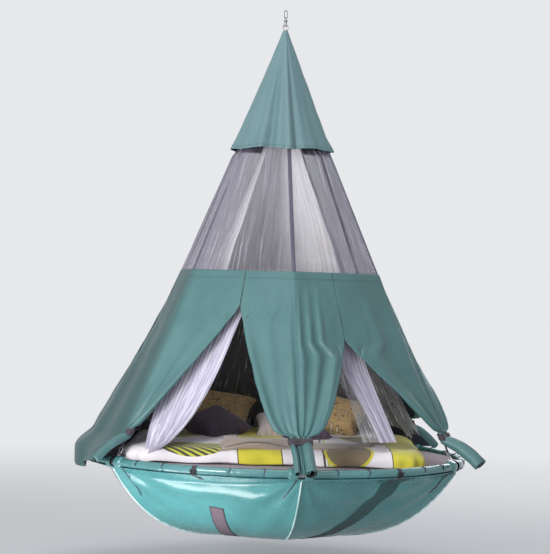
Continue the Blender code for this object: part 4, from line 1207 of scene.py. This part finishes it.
eye = on_strap(EYE_REACH)
lap = EYE_R - STRAP_T - 0.0004
strap_path = [on_strap(lerp(STRAP_LENGTH, EYE_REACH, i / 40), EYE_R) for i in range(40)]
strap_path += arc(eye, STRAP_OUT, -STRAP_DIR, EYE_R, 0.0, math.pi, 12)
closes, tail = EYE_REACH + EYE_CLOSE, EYE_REACH + EYE_TAIL
for i in range(1, 7):
    strap_path.append(on_strap(lerp(EYE_REACH, closes, i / 6), lerp(-EYE_R, lap, smooth(i / 6))))
strap_path += [on_strap(lerp(closes, tail, i / 6), lap) for i in range(1, 7)]
for k in range(CORNERS):
    frame_matrix = ring_frame(corner_angle(k))
    bm = ribbon(strap_path, STRAP_W, 4, X, frame_matrix)
    if k in (0, 1):
        tab = [Vector((lerp(-TIE_HALF_W, STRAP_W / 2, i / 8), TAB_Y, TIE_Z)) for i in range(9)]
        add_to(bm, ribbon(tab, TIE_W, 6, STRAP_DIR, frame_matrix))
    piece(f"strap_{k}", bm, strap_web, "tent", (f"suspension_strap_{k}",), "webbing", 60.0, STRAP_T)
print("straps", round(STRAP_LENGTH - EYE_REACH, 2), "m each")

# %% [markdown]
# ## Ties
# A band of hook-and-loop webbing goes round each drawn bundle of canvas. It is sewn to the tab behind
# the strap at one end, so it swings open about that end, and each one rides on its own body.

# %% Ties
TIE_DEPTH = 0.032
TIE_BEND = 0.020
TIE_T = 0.0026
tie_back = TAB_Y - 0.0021
tie_cloth = -strap_radius(TIE_Z) - CLOTH_OFF
tie_front = tie_cloth - TIE_DEPTH
for k in range(CORNERS):
    sides = [side for side, gore in ((-1, k - 1), (1, k)) if gore % CORNERS in DOORS]
    if not sides:
        continue
    path = []
    for side in sides:
        turn = Vector((side * (TIE_HALF_W - TIE_BEND), tie_front + TIE_BEND, 0.0))
        bend_y = tie_front + TIE_BEND
        leg = [Vector((side * TIE_HALF_W, lerp(tie_back, bend_y, i / 4), 0.0)) for i in range(4)]
        leg += arc(turn, X * side, -Y, TIE_BEND, 0.0, math.pi / 2, 8)
        if len(sides) == 2:
            dip = [(0.75, 0.0), (0.45, 0.004), (0.20, 0.010)]
            leg += [Vector((turn.x * share, tie_front + inward, 0.0)) for share, inward in dip]
        path += leg if side == sides[0] else leg[::-1]
    if len(sides) == 1:
        side = sides[0]
        seat = tie_cloth - 0.0042
        for share in (0.75, 0.5, 0.25, 0.0):
            y = lerp(seat, tie_front, smooth(share * 1.1))
            path.append(Vector((side * 2 * TIE_BEND * share, y, 0.0)))
    path = [p + Z * TIE_Z for p in path]
    smoothed = curve_through(path, 4)
    bm = ribbon(smoothed, TIE_W, 6, STRAP_DIR, ring_frame(corner_angle(k)))
    piece(f"tie_band_{k}", bm, tie_web, f"tie_{k}", (f"curtain_tie_{k}",), "tie", 60.0, TIE_T)
print("ties at corners 0, 1, 2 and 5")

# %% [markdown]
# ## Sling, crown and metal
# The top of the tent is a loop of webbing, a shackle and a swivel. These and the corner fittings have
# their real shape in the imported model, so they keep it and only take their finish here. The sling is
# drawn anew as sewn webbing, and the crown keeps its shape and takes the straps' webbing.

# %% Sling, crown and metal
SLING_HALF = 0.008
SLING_T = 0.004
SLING_W = 0.012
low_node, high_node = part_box("hang_sling")
sling_r = SLING_HALF + SLING_T / 2
sling_top = Vector((0.0, 0.0, high_node[2] - SLING_T / 2 - sling_r))
sling_low = Vector((0.0, 0.0, low_node[2] + SLING_T / 2 + sling_r))
loop = arc(sling_top, X, Z, sling_r, 0.0, math.pi, 16)
loop += [loop[-1].lerp(sling_low - X * sling_r, i / 8) for i in range(1, 8)]
loop += arc(sling_low, X, Z, sling_r, math.pi, 2 * math.pi, 16)
loop += [(sling_low + X * sling_r).lerp(sling_top + X * sling_r, i / 8) for i in range(1, 9)]
bm = ribbon(loop, SLING_W, 4, Y)
bmesh.ops.remove_doubles(bm, verts=bm.verts, dist=0.00001)
bmesh.ops.recalc_face_normals(bm, faces=bm.faces)
piece("sling_loop", bm, sling_web, "sling", ("hang_sling",), "sling", 60.0, SLING_T * 0.9)

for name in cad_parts:
    node = bpy.data.objects[name]
    if name.startswith(("ring_joint", "corner_link", "top_shackle", "swivel")):
        finish = steel
    elif name == "strap_crown":
        finish = strap_web
    elif name == "hull_patch":
        finish = hull_coat
    else:
        continue
    for holder in node.material_slots:
        holder.material = finish
print("metal dressed")

# %% [markdown]
# ## Bed
# A cloth deck is laced inside the ring and sags a little. On it lies a foam mattress with rounded
# corners in a quilted cover. The duvet is cut larger than the mattress, so it hangs down over the
# edge and gathers in folds at the corners, because there the same edge has less way to go round.

# %% Deck and mattress
DECK_R = 1.214
DECK_T = 0.0030
SCALLOP = 0.004
BED_W = 1.80
BED_D = 1.50
BED_H = 0.105
FOAM_H = 0.074
BED_CORNER = 0.16
BED_BASE = 0.0024

deck_cloth = Finish("deck_cloth", (0.30, 0.225, 0.275), 0.8, Sheen_Weight=0.2)
deck_body = deck_cloth.place(kind="Object")
deck_tone = deck_cloth.noise(deck_body, 3.5, 4.0, 0.6)
deck_ramp = deck_cloth.ramp(deck_tone, 0.3, 0.7)
deck_cloth.to("Base Color", deck_cloth.mix(deck_ramp, (0.22, 0.165, 0.215), (0.34, 0.26, 0.31)))
deck_cloth.raise_by(
    (deck_cloth.noise(deck_body, 9.0, 4.0, 0.6), 0.006, 0.5),
    (deck_cloth.weave(deck_cloth.place(), 600.0), 0.0005, 0.3),
)


def deck_place(u, v):
    angle = u * 2.0 * math.pi
    r = DECK_R * max(v, 0.002)
    scallop = SCALLOP * math.cos(24.0 * angle) * smooth((v - 0.9) / 0.1)
    sag = 0.0015 * noise.noise(Vector((r * math.sin(angle) * 3.0, r * math.cos(angle) * 3.0, 0.0)))
    return round_point(r + scallop - SCALLOP, angle, sag)


bm = cloth_grid(deck_place, 240, 44, (1.0, 1.0), ring_frame(), closed=True)
middle = [edge for edge in bm.edges if edge.is_boundary and (edge.verts[0].co.xy.length < 0.01)]
bmesh.ops.holes_fill(bm, edges=middle, sides=0)
uv = bm.loops.layers.uv["cloth"]
for face in bm.faces:
    for loop in face.loops:
        loop[uv].uv = loop.vert.co.xy
sheet("bed_deck", bm, deck_cloth.made, "deck", "deck", DECK_T)

cover = Finish("mattress_cover", (0.72, 0.70, 0.72), 0.85)
quilting = cover.cells(cover.place((1.0, 1.0, 1.0), kind="Object"), 13.0, "SMOOTH_F1", jitter=0.15)
cover.to("Base Color", cover.mix(cover.ramp(quilting, 0.1, 0.7), (0.66, 0.64, 0.66), (0.78, 0.76, 0.78)))
cover.raise_by((quilting, 0.010, 0.5), (cover.noise(cover.place(kind="Object"), 400.0), 0.0004, 0.3))


def rounded(angle, half_w, half_d):
    """Point of a rectangle with round corners in the direction of an angle."""
    x, y = math.cos(angle), math.sin(angle)
    power = 7.0
    reach = (abs(x / half_w) ** power + abs(y / half_d) ** power) ** (-1.0 / power)
    return x * reach, y * reach


def slab(half_w, half_d, low, high, bulge):
    """A cushion-like slab with a round edge, closed above and below."""
    def place(u, v):
        angle = u * 2.0 * math.pi
        x, y = rounded(angle, half_w, half_d)
        if v < 0.25:
            share, z, out = v / 0.25, low, 0.0
        elif v > 0.75:
            share, z, out = (1.0 - v) / 0.25, high, 0.0
        else:
            t = (v - 0.25) / 0.5
            share, z, out = 1.0, lerp(low, high, t), bulge * math.sin(math.pi * t)
        share = 0.001 + 0.999 * share
        size = math.hypot(x, y)
        return Vector((x * (share + out / size), y * (share + out / size), z))

    bm = cloth_grid(place, 160, 40, (1.0, 1.0), ring_frame(), closed=True)
    bmesh.ops.holes_fill(bm, edges=[e for e in bm.edges if e.is_boundary], sides=0)
    bmesh.ops.recalc_face_normals(bm, faces=bm.faces)
    return bm


FOAM_INSET = 0.030
bm = slab(BED_W / 2 - FOAM_INSET, BED_D / 2 - FOAM_INSET, BED_BASE, BED_BASE + FOAM_H, 0.012)
mattress = piece("foam_mattress", bm, cover.made, "tent", ("mattress",), "mattress", 50.0)

# %% [markdown]
# ## Duvet
# The duvet is one flat cloth in its own measures: its print is laid out in metres on that cloth, and
# a function folds the cloth over the bed's rounded edge. The print is a plain design of blocks,
# bands and striped pebbles in lime, yellow, taupe and dark grey on white.

# %% Duvet print
DUVET_HANG = 0.108
DUVET_SIZE = (BED_W + 2 * DUVET_HANG + 0.04, BED_D + 2 * DUVET_HANG + 0.04)

quilt = Finish("duvet_print", (0.84, 0.81, 0.84), 0.82, Sheen_Weight=0.25)
quilt_uv = quilt.place()
quilt_parts = quilt.parts(quilt_uv)
qx, qy = quilt_parts[0], quilt_parts[1]


def box_mask(finish, x, y, left, right, low, high):
    """1 inside a rectangle of the cloth."""
    mask = finish.maths("GREATER_THAN", x, left)
    mask = finish.maths("MULTIPLY", mask, finish.maths("LESS_THAN", x, right))
    mask = finish.maths("MULTIPLY", mask, finish.maths("GREATER_THAN", y, low))
    return finish.maths("MULTIPLY", mask, finish.maths("LESS_THAN", y, high))


def oval_distance(finish, x, y, cx, cy, rx, ry):
    """Distance from an oval's middle, 1 at its rim."""
    dx = finish.maths("DIVIDE", finish.maths("SUBTRACT", x, cx), rx)
    dy = finish.maths("DIVIDE", finish.maths("SUBTRACT", y, cy), ry)
    squares = finish.maths("ADD", finish.maths("POWER", dx, 2.0), finish.maths("POWER", dy, 2.0))
    return finish.maths("SQRT", squares)


LIME = (0.55, 0.56, 0.075)
YELLOW = (0.66, 0.60, 0.050)
TAUPE = (0.19, 0.145, 0.085)
DARK = (0.055, 0.045, 0.030)
WHITE = (0.84, 0.81, 0.84)
soft_tint = quilt.noise(quilt_uv, 2.2, 3.0)
colour = quilt.mix(soft_tint, (0.78, 0.74, 0.79), WHITE)
# Blocks and bands run up the whole cloth; the pebbles sit on them.
edge_x = quilt.maths("MULTIPLY_ADD", quilt.maths("SINE", quilt.maths("MULTIPLY", qy, 4.0)), 0.03, qx)
for left, right, tone in (
    (0.815, 1.085, YELLOW),
    (1.345, 1.358, DARK),
    (1.370, 1.383, LIME),
    (1.785, 2.10, YELLOW),
):
    rim = box_mask(quilt, edge_x, qy, left - 0.007, right + 0.007, -1.0, 3.0)
    if right - left > 0.1:
        colour = quilt.mix(rim, colour, DARK)
    colour = quilt.mix(box_mask(quilt, edge_x, qy, left, right, -1.0, 3.0), colour, tone)
for cx, cy, rx, ry, kind in (
    (0.520, 0.150, 0.215, 0.110, "stripes"),
    (0.420, 0.760, 0.190, 0.250, "stripes"),
    (1.500, 0.115, 0.140, 0.130, "taupe"),
    (1.620, 0.700, 0.150, 0.240, "taupe"),
    (0.950, 1.150, 0.220, 0.180, "stripes"),
    (1.500, 1.330, 0.200, 0.150, "stripes"),
    (0.330, 1.420, 0.200, 0.140, "taupe"),
):
    away = oval_distance(quilt, qx, qy, cx, cy, rx, ry)
    inside = quilt.maths("LESS_THAN", away, 1.0)
    if kind == "stripes":
        lines = quilt.maths("GREATER_THAN", quilt.wave(quilt.place(turn=(0.0, 0.0, 0.55)), 9.0, "Y"), 0.50)
        fill = quilt.mix(lines, LIME, DARK)
        colour = quilt.mix(inside, colour, fill)
    else:
        speckle = quilt.ramp(quilt.noise(quilt_uv, 160.0, 2.0), 0.4, 0.6)
        colour = quilt.mix(quilt.maths("LESS_THAN", away, 1.13), colour, YELLOW)
        colour = quilt.mix(inside, colour, quilt.mix(speckle, TAUPE, (0.27, 0.215, 0.135)))
quilt.to("Base Color", colour)
rumple = quilt.noise(quilt_uv, 16.0, 4.0, 0.6)
quilt.raise_by((rumple, 0.010, 0.45), (quilt.weave(quilt_uv, 1200.0), 0.0003, 0.25))

# %% Duvet cloth
EDGE_SINK = 0.026
BEND_R = 0.070
DUVET_LIFT = 0.012
DUVET_CROWN = 0.012
DUVET_T = 0.014
FLAT_CORNER = BED_CORNER - 0.012


def duvet_place(u, v):
    s = (u - 0.5) * DUVET_SIZE[0]
    t = (v - 0.5) * DUVET_SIZE[1]
    core_x = BED_W / 2 - BED_CORNER
    core_y = BED_D / 2 - BED_CORNER
    out_x = max(0.0, abs(s) - core_x)
    out_y = max(0.0, abs(t) - core_y)
    beyond = math.hypot(out_x, out_y)
    top = BED_BASE + BED_H + DUVET_LIFT
    puff = 0.014 * noise.noise(Vector((s * 2.6, t * 2.6, 1.0)))
    puff += 0.006 * noise.noise(Vector((s * 7.0, t * 7.0, 4.0)))
    ridges = 0.005 * math.sin(9.0 * s + 5.0 * t + 3.0 * noise.noise(Vector((s * 2.0, t * 2.0, 7.0))))
    edge_near = max(abs(s) / (BED_W / 2), abs(t) / (BED_D / 2)) * 2.2 - 1.2
    if beyond <= FLAT_CORNER or beyond == 0.0:
        fade = 1.0 - 0.6 * smooth((beyond - 0.05) / (BED_CORNER - 0.05))
        sink = EDGE_SINK * smooth(edge_near)
        return Vector((s, t, top + DUVET_CROWN * fade + (puff + ridges) * fade - sink))
    side = Vector((math.copysign(out_x, s), math.copysign(out_y, t), 0.0)) / beyond
    foot = Vector((math.copysign(min(abs(s), core_x), s), math.copysign(min(abs(t), core_y), t), 0.0))
    over = beyond - FLAT_CORNER
    bend = BEND_R * math.pi / 2.0
    if over < bend:
        angle = over / BEND_R
        out, drop = BEND_R * math.sin(angle), BEND_R * (1.0 - math.cos(angle))
    else:
        out, drop = BEND_R, BEND_R + over - bend
    corner = min(out_x, out_y) / max(out_x, out_y, 1e-6)
    turn = math.atan2(side.y, side.x)
    length = s if abs(side.y) > abs(side.x) else t
    wave = math.sin(21.0 * length + 2.0 * math.sin(3.7 * length)) * (1.0 - corner)
    wave += 1.5 * math.cos(13.0 * turn) * corner
    depth = smooth(drop / 0.09)
    out += (0.006 + 0.0085 * wave) * depth
    low = min(drop, 0.112) - 0.004 * math.sin(15.0 * length) * depth
    point = foot + side * (FLAT_CORNER + out)
    sink = EDGE_SINK * (1.0 - 0.6 * depth)
    point.z = top + DUVET_CROWN * 0.4 + (puff + ridges) * 0.4 * (1.0 - depth) - low - sink
    return point


bm = cloth_grid(duvet_place, 190, 160, DUVET_SIZE, ring_frame())
crumple(bm, 0.0022, 16.0, seed=2.0)
duvet = piece("bed_duvet", bm, quilt.made, "tent", ("duvet",), "duvet", 70.0, DUVET_T)
duvet.modifiers["wall"].use_rim = True
print("duvet", [round(v, 2) for v in DUVET_SIZE], "m flat")

# %% [markdown]
# ## Folded blanket
# A fleece blanket is folded in layers across the foot of the bed. It is one long cloth that goes to
# and fro, with round turns at its front and back, and every layer has its own slow waves.

# %% Folded blanket
BLANKET_W = 1.02
BLANKET_RUN = 0.26
BLANKET_LAYERS = 4
BLANKET_STEP = 0.0115
BLANKET_T = 0.0075
BLANKET_TURN = 0.03
BLANKET_AT = (0.15, -0.625, BED_BASE + BED_H - 0.002)
BLANKET_SIZE = (BLANKET_W, BLANKET_LAYERS * BLANKET_RUN + 0.06)

fleece = Finish("blanket_fleece", (0.56, 0.47, 0.46), 0.95, Sheen_Weight=0.5, Sheen_Roughness=0.6)
nap = fleece.noise(fleece.place(), 220.0, 4.0, 0.7)
tufts = fleece.noise(fleece.place(), 26.0, 4.0, 0.6)
fleece_tone = fleece.maths("MULTIPLY_ADD", nap, 0.5, fleece.maths("MULTIPLY", tufts, 0.5))
fleece.to("Base Color", fleece.mix(fleece_tone, (0.22, 0.165, 0.13), (0.42, 0.335, 0.28)))
fleece.raise_by((tufts, 0.006, 0.6), (nap, 0.0016, 0.6))

zigzag = []
for layer in range(BLANKET_LAYERS):
    way = 1.0 if layer % 2 == 0 else -1.0
    reach = BLANKET_RUN / 2 - 0.006 * layer
    height = layer * BLANKET_STEP
    zigzag += [Vector((0.0, -way * reach + way * 2 * reach * i / 14, height)) for i in range(15)]
    if layer < BLANKET_LAYERS - 1:
        centre = Vector((0.0, way * reach, height + BLANKET_STEP / 2))
        zigzag += arc(centre, Y * way, Z, BLANKET_STEP / 2, -math.pi / 2, math.pi / 2, 6)[1:-1]


def blanket_place(u, v):
    point = on_line(zigzag, v)
    point.x = (u - 0.5) * BLANKET_W * (1.0 - 0.03 * point.z / BLANKET_STEP)
    level = point.z / BLANKET_STEP
    swell = 0.5 + 0.5 * math.sin(5.3 * point.x + 0.8 * level + 1.0)
    point.z *= 1.0 + 0.35 * swell
    spot = Vector((point.x * 4.0, point.y * 5.0, 0.3 * level))
    point.z += 0.018 * (1.0 + level * 0.35) * noise.noise(spot)
    point.z -= 0.020 * smooth((-point.y - 0.02) / 0.10)
    point.y += 0.030 * math.sin(3.2 * point.x + 0.5) + 0.008 * math.sin(11.0 * point.x + level)
    return point


blanket_frame = ring_frame() @ Matrix.Translation(BLANKET_AT)
blanket_frame = blanket_frame @ Matrix.Rotation(BLANKET_TURN, 4, "Z")
bm = cloth_grid(blanket_place, 110, len(zigzag) - 1, BLANKET_SIZE, blanket_frame)
blanket_area = flat_area(bm)
blanket = piece("folded_blanket", bm, fleece.made, "tent", slot="duvet", crease=70.0, wall=BLANKET_T)
print("blanket", round(blanket_area, 2), "square metres")

# %% [markdown]
# ## Cushions
# A cushion is two cloths sewn along one seam and blown up by its filling. The cloth solver does just
# that: a thin cushion is remeshed finely and put under a little pressure, and it swells into a crown
# with gathers along the seam and empty, pointed corners. The swelling is capped, so each cushion
# keeps to its place on the bed.

# %% Cushion maker
CUSHION_W = 0.46
CUSHION_T = 0.16
CUSHION_WAIST = 0.075
CUSHION_PUCKER = 0.006
VOXEL = 0.006
SWELL_CAP = 0.020
SWELL_PRESSURE = 4.0
SWELL_FRAMES = 20
CUSHION_SIZE = (CUSHION_W, CUSHION_W, CUSHION_T)


def thin_cushion(half_w, half_d, half_t):
    """A slack cushion before it swells: sides drawn in a little between pointed corners."""
    bm = bmesh.new()
    bmesh.ops.create_cube(bm, size=2.0)
    bmesh.ops.subdivide_edges(bm, edges=bm.edges, cuts=15, use_grid_fill=True)
    for vert in bm.verts:
        x, y, z = vert.co
        crown = math.sqrt(max(0.0, 1.0 - x * x) * max(0.0, 1.0 - y * y))
        pucker = CUSHION_PUCKER * math.sin(26.0 * x) * (abs(y) ** 6)
        pucker += CUSHION_PUCKER * math.sin(24.0 * y) * (abs(x) ** 6)
        vert.co = Vector((
            x * half_w * (1.0 - CUSHION_WAIST * (1.0 - y * y) * x * x) + pucker * x,
            y * half_d * (1.0 - CUSHION_WAIST * (1.0 - x * x) * y * y) + pucker * y,
            z * half_t * (0.10 + 0.72 * crown ** 0.75),
        ))
    return bm


def swollen(mesh):
    """Run the mesh through the cloth solver under pressure and return the capped result."""
    pad = placed("pad", mesh)
    remesh = pad.modifiers.new("remesh", "REMESH")
    remesh.mode = "VOXEL"
    remesh.voxel_size = VOXEL
    fine = bpy.data.meshes.new_from_object(pad.evaluated_get(bpy.context.evaluated_depsgraph_get()))
    pad.modifiers.clear()
    pad.data = fine
    start = [v.co.copy() for v in fine.vertices]
    solver = pad.modifiers.new("cloth", "CLOTH")
    solver.settings.use_pressure = True
    solver.settings.uniform_pressure_force = SWELL_PRESSURE
    solver.settings.effector_weights.gravity = 0.0
    solver.settings.shrink_min = -0.02
    for step in range(1, SWELL_FRAMES + 1):
        bpy.context.scene.frame_set(step)
    grown = bpy.data.meshes.new_from_object(pad.evaluated_get(bpy.context.evaluated_depsgraph_get()))
    pad.modifiers.clear()
    for vert, before, after in zip(fine.vertices, start, grown.vertices):
        move = after.co - before
        if move.length > SWELL_CAP:
            move = move.normalized() * SWELL_CAP
        vert.co = before + move
    bpy.context.scene.frame_set(1)
    bpy.data.meshes.remove(grown)
    bpy.data.objects.remove(pad, do_unlink=True)
    bm = bmesh.new()
    bm.from_mesh(fine)
    bmesh.ops.smooth_vert(bm, verts=bm.verts, factor=0.4, use_axis_x=True, use_axis_y=True, use_axis_z=True)
    bpy.data.meshes.remove(fine)
    return bm


def cushion(name, node, shares, tilt, turn, spin, shift, finish, slot, fill):
    """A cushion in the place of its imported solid; spin turns it in its own plane."""
    low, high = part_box(node)
    centre = (low + high) / 2.0 + Vector(shift)
    thin = thin_cushion(*(share * size / 2.0 for share, size in zip(shares, CUSHION_SIZE)))
    mesh = bpy.data.meshes.new(name)
    thin.to_mesh(mesh)
    thin.free()
    bm = swollen(mesh)
    seam_low = min(v.co.z for v in bm.verts)
    layer = bm.verts.layers.float.new("seam")
    for vert in bm.verts:
        vert[layer] = 1.0 - min(1.0, abs(vert.co.z) / max(0.001, -seam_low * 0.10))
    matrix = Matrix.Translation(centre) @ Matrix.Rotation(turn, 4, "Z")
    matrix = matrix @ Matrix.Rotation(tilt, 4, "X") @ Matrix.Rotation(spin, 4, "Z")
    uv = bm.loops.layers.uv.new("cloth")
    for face in bm.faces:
        for loop in face.loops:
            loop[uv].uv = (loop.vert.co.x + 0.5, loop.vert.co.y + (0.5 if face.normal.z > 0 else 1.7))
    bmesh.ops.transform(bm, matrix=matrix, verts=bm.verts)
    obj = piece(name, bm, finish, "tent", (node,), slot, 180.0)
    rounding = obj.modifiers.new("rounding", "SUBSURF")
    rounding.levels = 1
    rounding.render_levels = 1
    return obj


# %% Cushion finishes
def seam_line(finish):
    """The sewn edge, kept as an attribute on the cushion's points."""
    return finish.ramp(finish.add("Attribute", {}, attribute_name="seam")["Fac"], 0.2, 0.9)


def woven_cushion(name, dark, light, threads=900.0):
    cloth = Finish(name, light, 0.85, Sheen_Weight=0.3)
    uv = cloth.place()
    slubs = cloth.noise(cloth.place((1.0, 9.0, 1.0)), 60.0, 4.0, 0.7)
    tone = cloth.mix(cloth.ramp(slubs, 0.3, 0.7), dark, light)
    cloth.to("Base Color", cloth.mix(seam_line(cloth), tone, tuple(c * 0.55 for c in dark)))
    cloth.raise_by((cloth.noise(uv, 18.0, 4.0, 0.6), 0.006, 0.4), (cloth.weave(uv, threads), 0.0005, 0.4))
    return cloth.made


mauve_cloth = woven_cushion("mauve_velvet", (0.050, 0.034, 0.056), (0.092, 0.066, 0.098))
beige_cloth = woven_cushion("beige_linen", (0.46, 0.40, 0.40), (0.62, 0.55, 0.55), 500.0)

tan = Finish("tan_print", (0.46, 0.31, 0.14), 0.8, Sheen_Weight=0.2)
tan_uv = tan.place()
mottle = tan.ramp(tan.noise(tan_uv, 30.0, 4.0), 0.3, 0.7)
ground = tan.mix(mottle, (0.36, 0.235, 0.10), (0.50, 0.345, 0.165))
ring_away = tan.cells(tan_uv, 24.0, jitter=0.75)
outer_ring = tan.near(ring_away, 0.32, 0.055)
inner_ring = tan.near(ring_away, 0.19, 0.060)
dot = tan.maths("LESS_THAN", ring_away, 0.07)
print_tone = tan.mix(outer_ring, ground, (0.20, 0.115, 0.045))
print_tone = tan.mix(inner_ring, print_tone, (0.52, 0.46, 0.36))
print_tone = tan.mix(dot, print_tone, (0.24, 0.14, 0.06))
tan.to("Base Color", tan.mix(seam_line(tan), print_tone, (0.18, 0.11, 0.05)))
tan.raise_by((tan.noise(tan_uv, 18.0, 4.0, 0.6), 0.006, 0.4), (tan.weave(tan_uv, 900.0), 0.0004, 0.35))

# %% Cushions
for name, node, shares, tilt, turn, spin, shift, finish, slot, fill in (
    ("pillow_tan_left", "cushion_tan_left", (0.98, 0.84, 0.95), 0.66, 0.10, -0.20,
     (-0.03, 0.0, -0.075), tan.made, "tan_cushion", 0.6),
    ("pillow_mauve", "cushion_mauve", (0.78, 0.78, 0.95), 0.45, 0.05, 0.70,
     (-0.035, -0.02, -0.045), mauve_cloth, "dark_cushion", 0.6),
    ("pillow_beige", "cushion_beige", (0.76, 0.64, 0.85), 0.50, -0.10, 0.10,
     (-0.06, 0.0, -0.045), beige_cloth, "beige_cushion", 0.4),
    ("pillow_tan_right", "cushion_tan_right", (0.84, 0.80, 0.95), 0.66, -0.15, -0.30,
     (0.0, 0.0, -0.085), tan.made, "tan_cushion", 0.7),
    ("pillow_small", "cushion_small", (0.74, 0.48, 0.50), 0.10, 0.15, 0.0,
     (0.0, 0.0, -0.010), mauve_cloth, "dark_cushion", 0.4),
):
    made = cushion(name, node, shares, tilt, turn, spin, shift, finish, slot, fill)
    print(name, len(made.data.polygons), "faces")

# %% [markdown]
# ## Drawn net
# At the two front doors the inner net is drawn aside: it hangs from the canvas's top seam, narrows on
# its way down and ends in a bunch on the bed. Two lines give its free edges, and pleats run between them.


def door_point(k, share, z, inset=0.055):
    point = side_point(strap_radius(z) - inset, share, SIDE_BULGE)
    point.z = z
    return Matrix.Rotation(corner_angle(k), 3, "Z") @ point


def veil(name, k, left, right, pleats, depth, finish):
    """A pleated net between two edge lines, each a list of (share of the side, height)."""
    left_line = curve_through([door_point(k, *spot) for spot in left], 10)
    right_line = curve_through([door_point(k, *spot) for spot in right], 10)

    def place(u, v):
        a, b = on_line(left_line, 1.0 - v), on_line(right_line, 1.0 - v)
        point = a.lerp(b, u)
        inward = Vector((-point.x, -point.y, 0.0)).normalized()
        lean = u + 0.012 * math.sin(7.0 * v + 3.0 * u)
        waves = math.cos(2.0 * math.pi * pleats * lean)
        waves += 0.5 * math.cos(2.0 * math.pi * pleats * 2.3 * lean + 1.0)
        tight = depth * (0.6 + 0.9 * (1.0 - v))
        point += inward * (tight * waves + 0.010 * math.sin(3.0 * v))
        return point

    length = cord_length(right_line)
    top = (left_line[0] - right_line[0]).length
    bm = cloth_grid(place, 150, 90, (max(1.0, top * 2.2), length), ring_frame())
    area = flat_area(bm)
    obj = piece(name, bm, finish, "tent", slot="net", crease=80.0, wall=0.0008)


veil(
    "net_drawn_left", 5,
    ((0.05, 1.15), (0.05, 0.85), (0.055, 0.55), (0.07, 0.28), (0.10, 0.12), (0.13, 0.045)),
    ((0.64, 1.15), (0.555, 0.95), (0.45, 0.60), (0.35, 0.32), (0.255, 0.15), (0.165, 0.075)),
    13, 0.0085, bunch_net.made,
)
veil(
    "net_drawn_right", 0,
    ((0.36, 1.12), (0.37, 0.77), (0.39, 0.58), (0.48, 0.37), (0.54, 0.165)),
    ((0.66, 1.12), (0.62, 0.85), (0.60, 0.64), (0.63, 0.39), (0.66, 0.165)),
    9, 0.0080, bunch_net.made,
)
veil(
    "net_drawn_sheer", 0,
    ((0.22, 1.02), (0.27, 0.77), (0.33, 0.58), (0.38, 0.40), (0.42, 0.170)),
    ((0.38, 1.02), (0.39, 0.77), (0.41, 0.58), (0.48, 0.39), (0.53, 0.170)),
    8, 0.0060, net_cloth.made,
)

# %% [markdown]
# ## View transform
# The colours are shown through the plain Standard view transform.

# %% View transform
bpy.context.scene.view_settings.view_transform = "Standard"
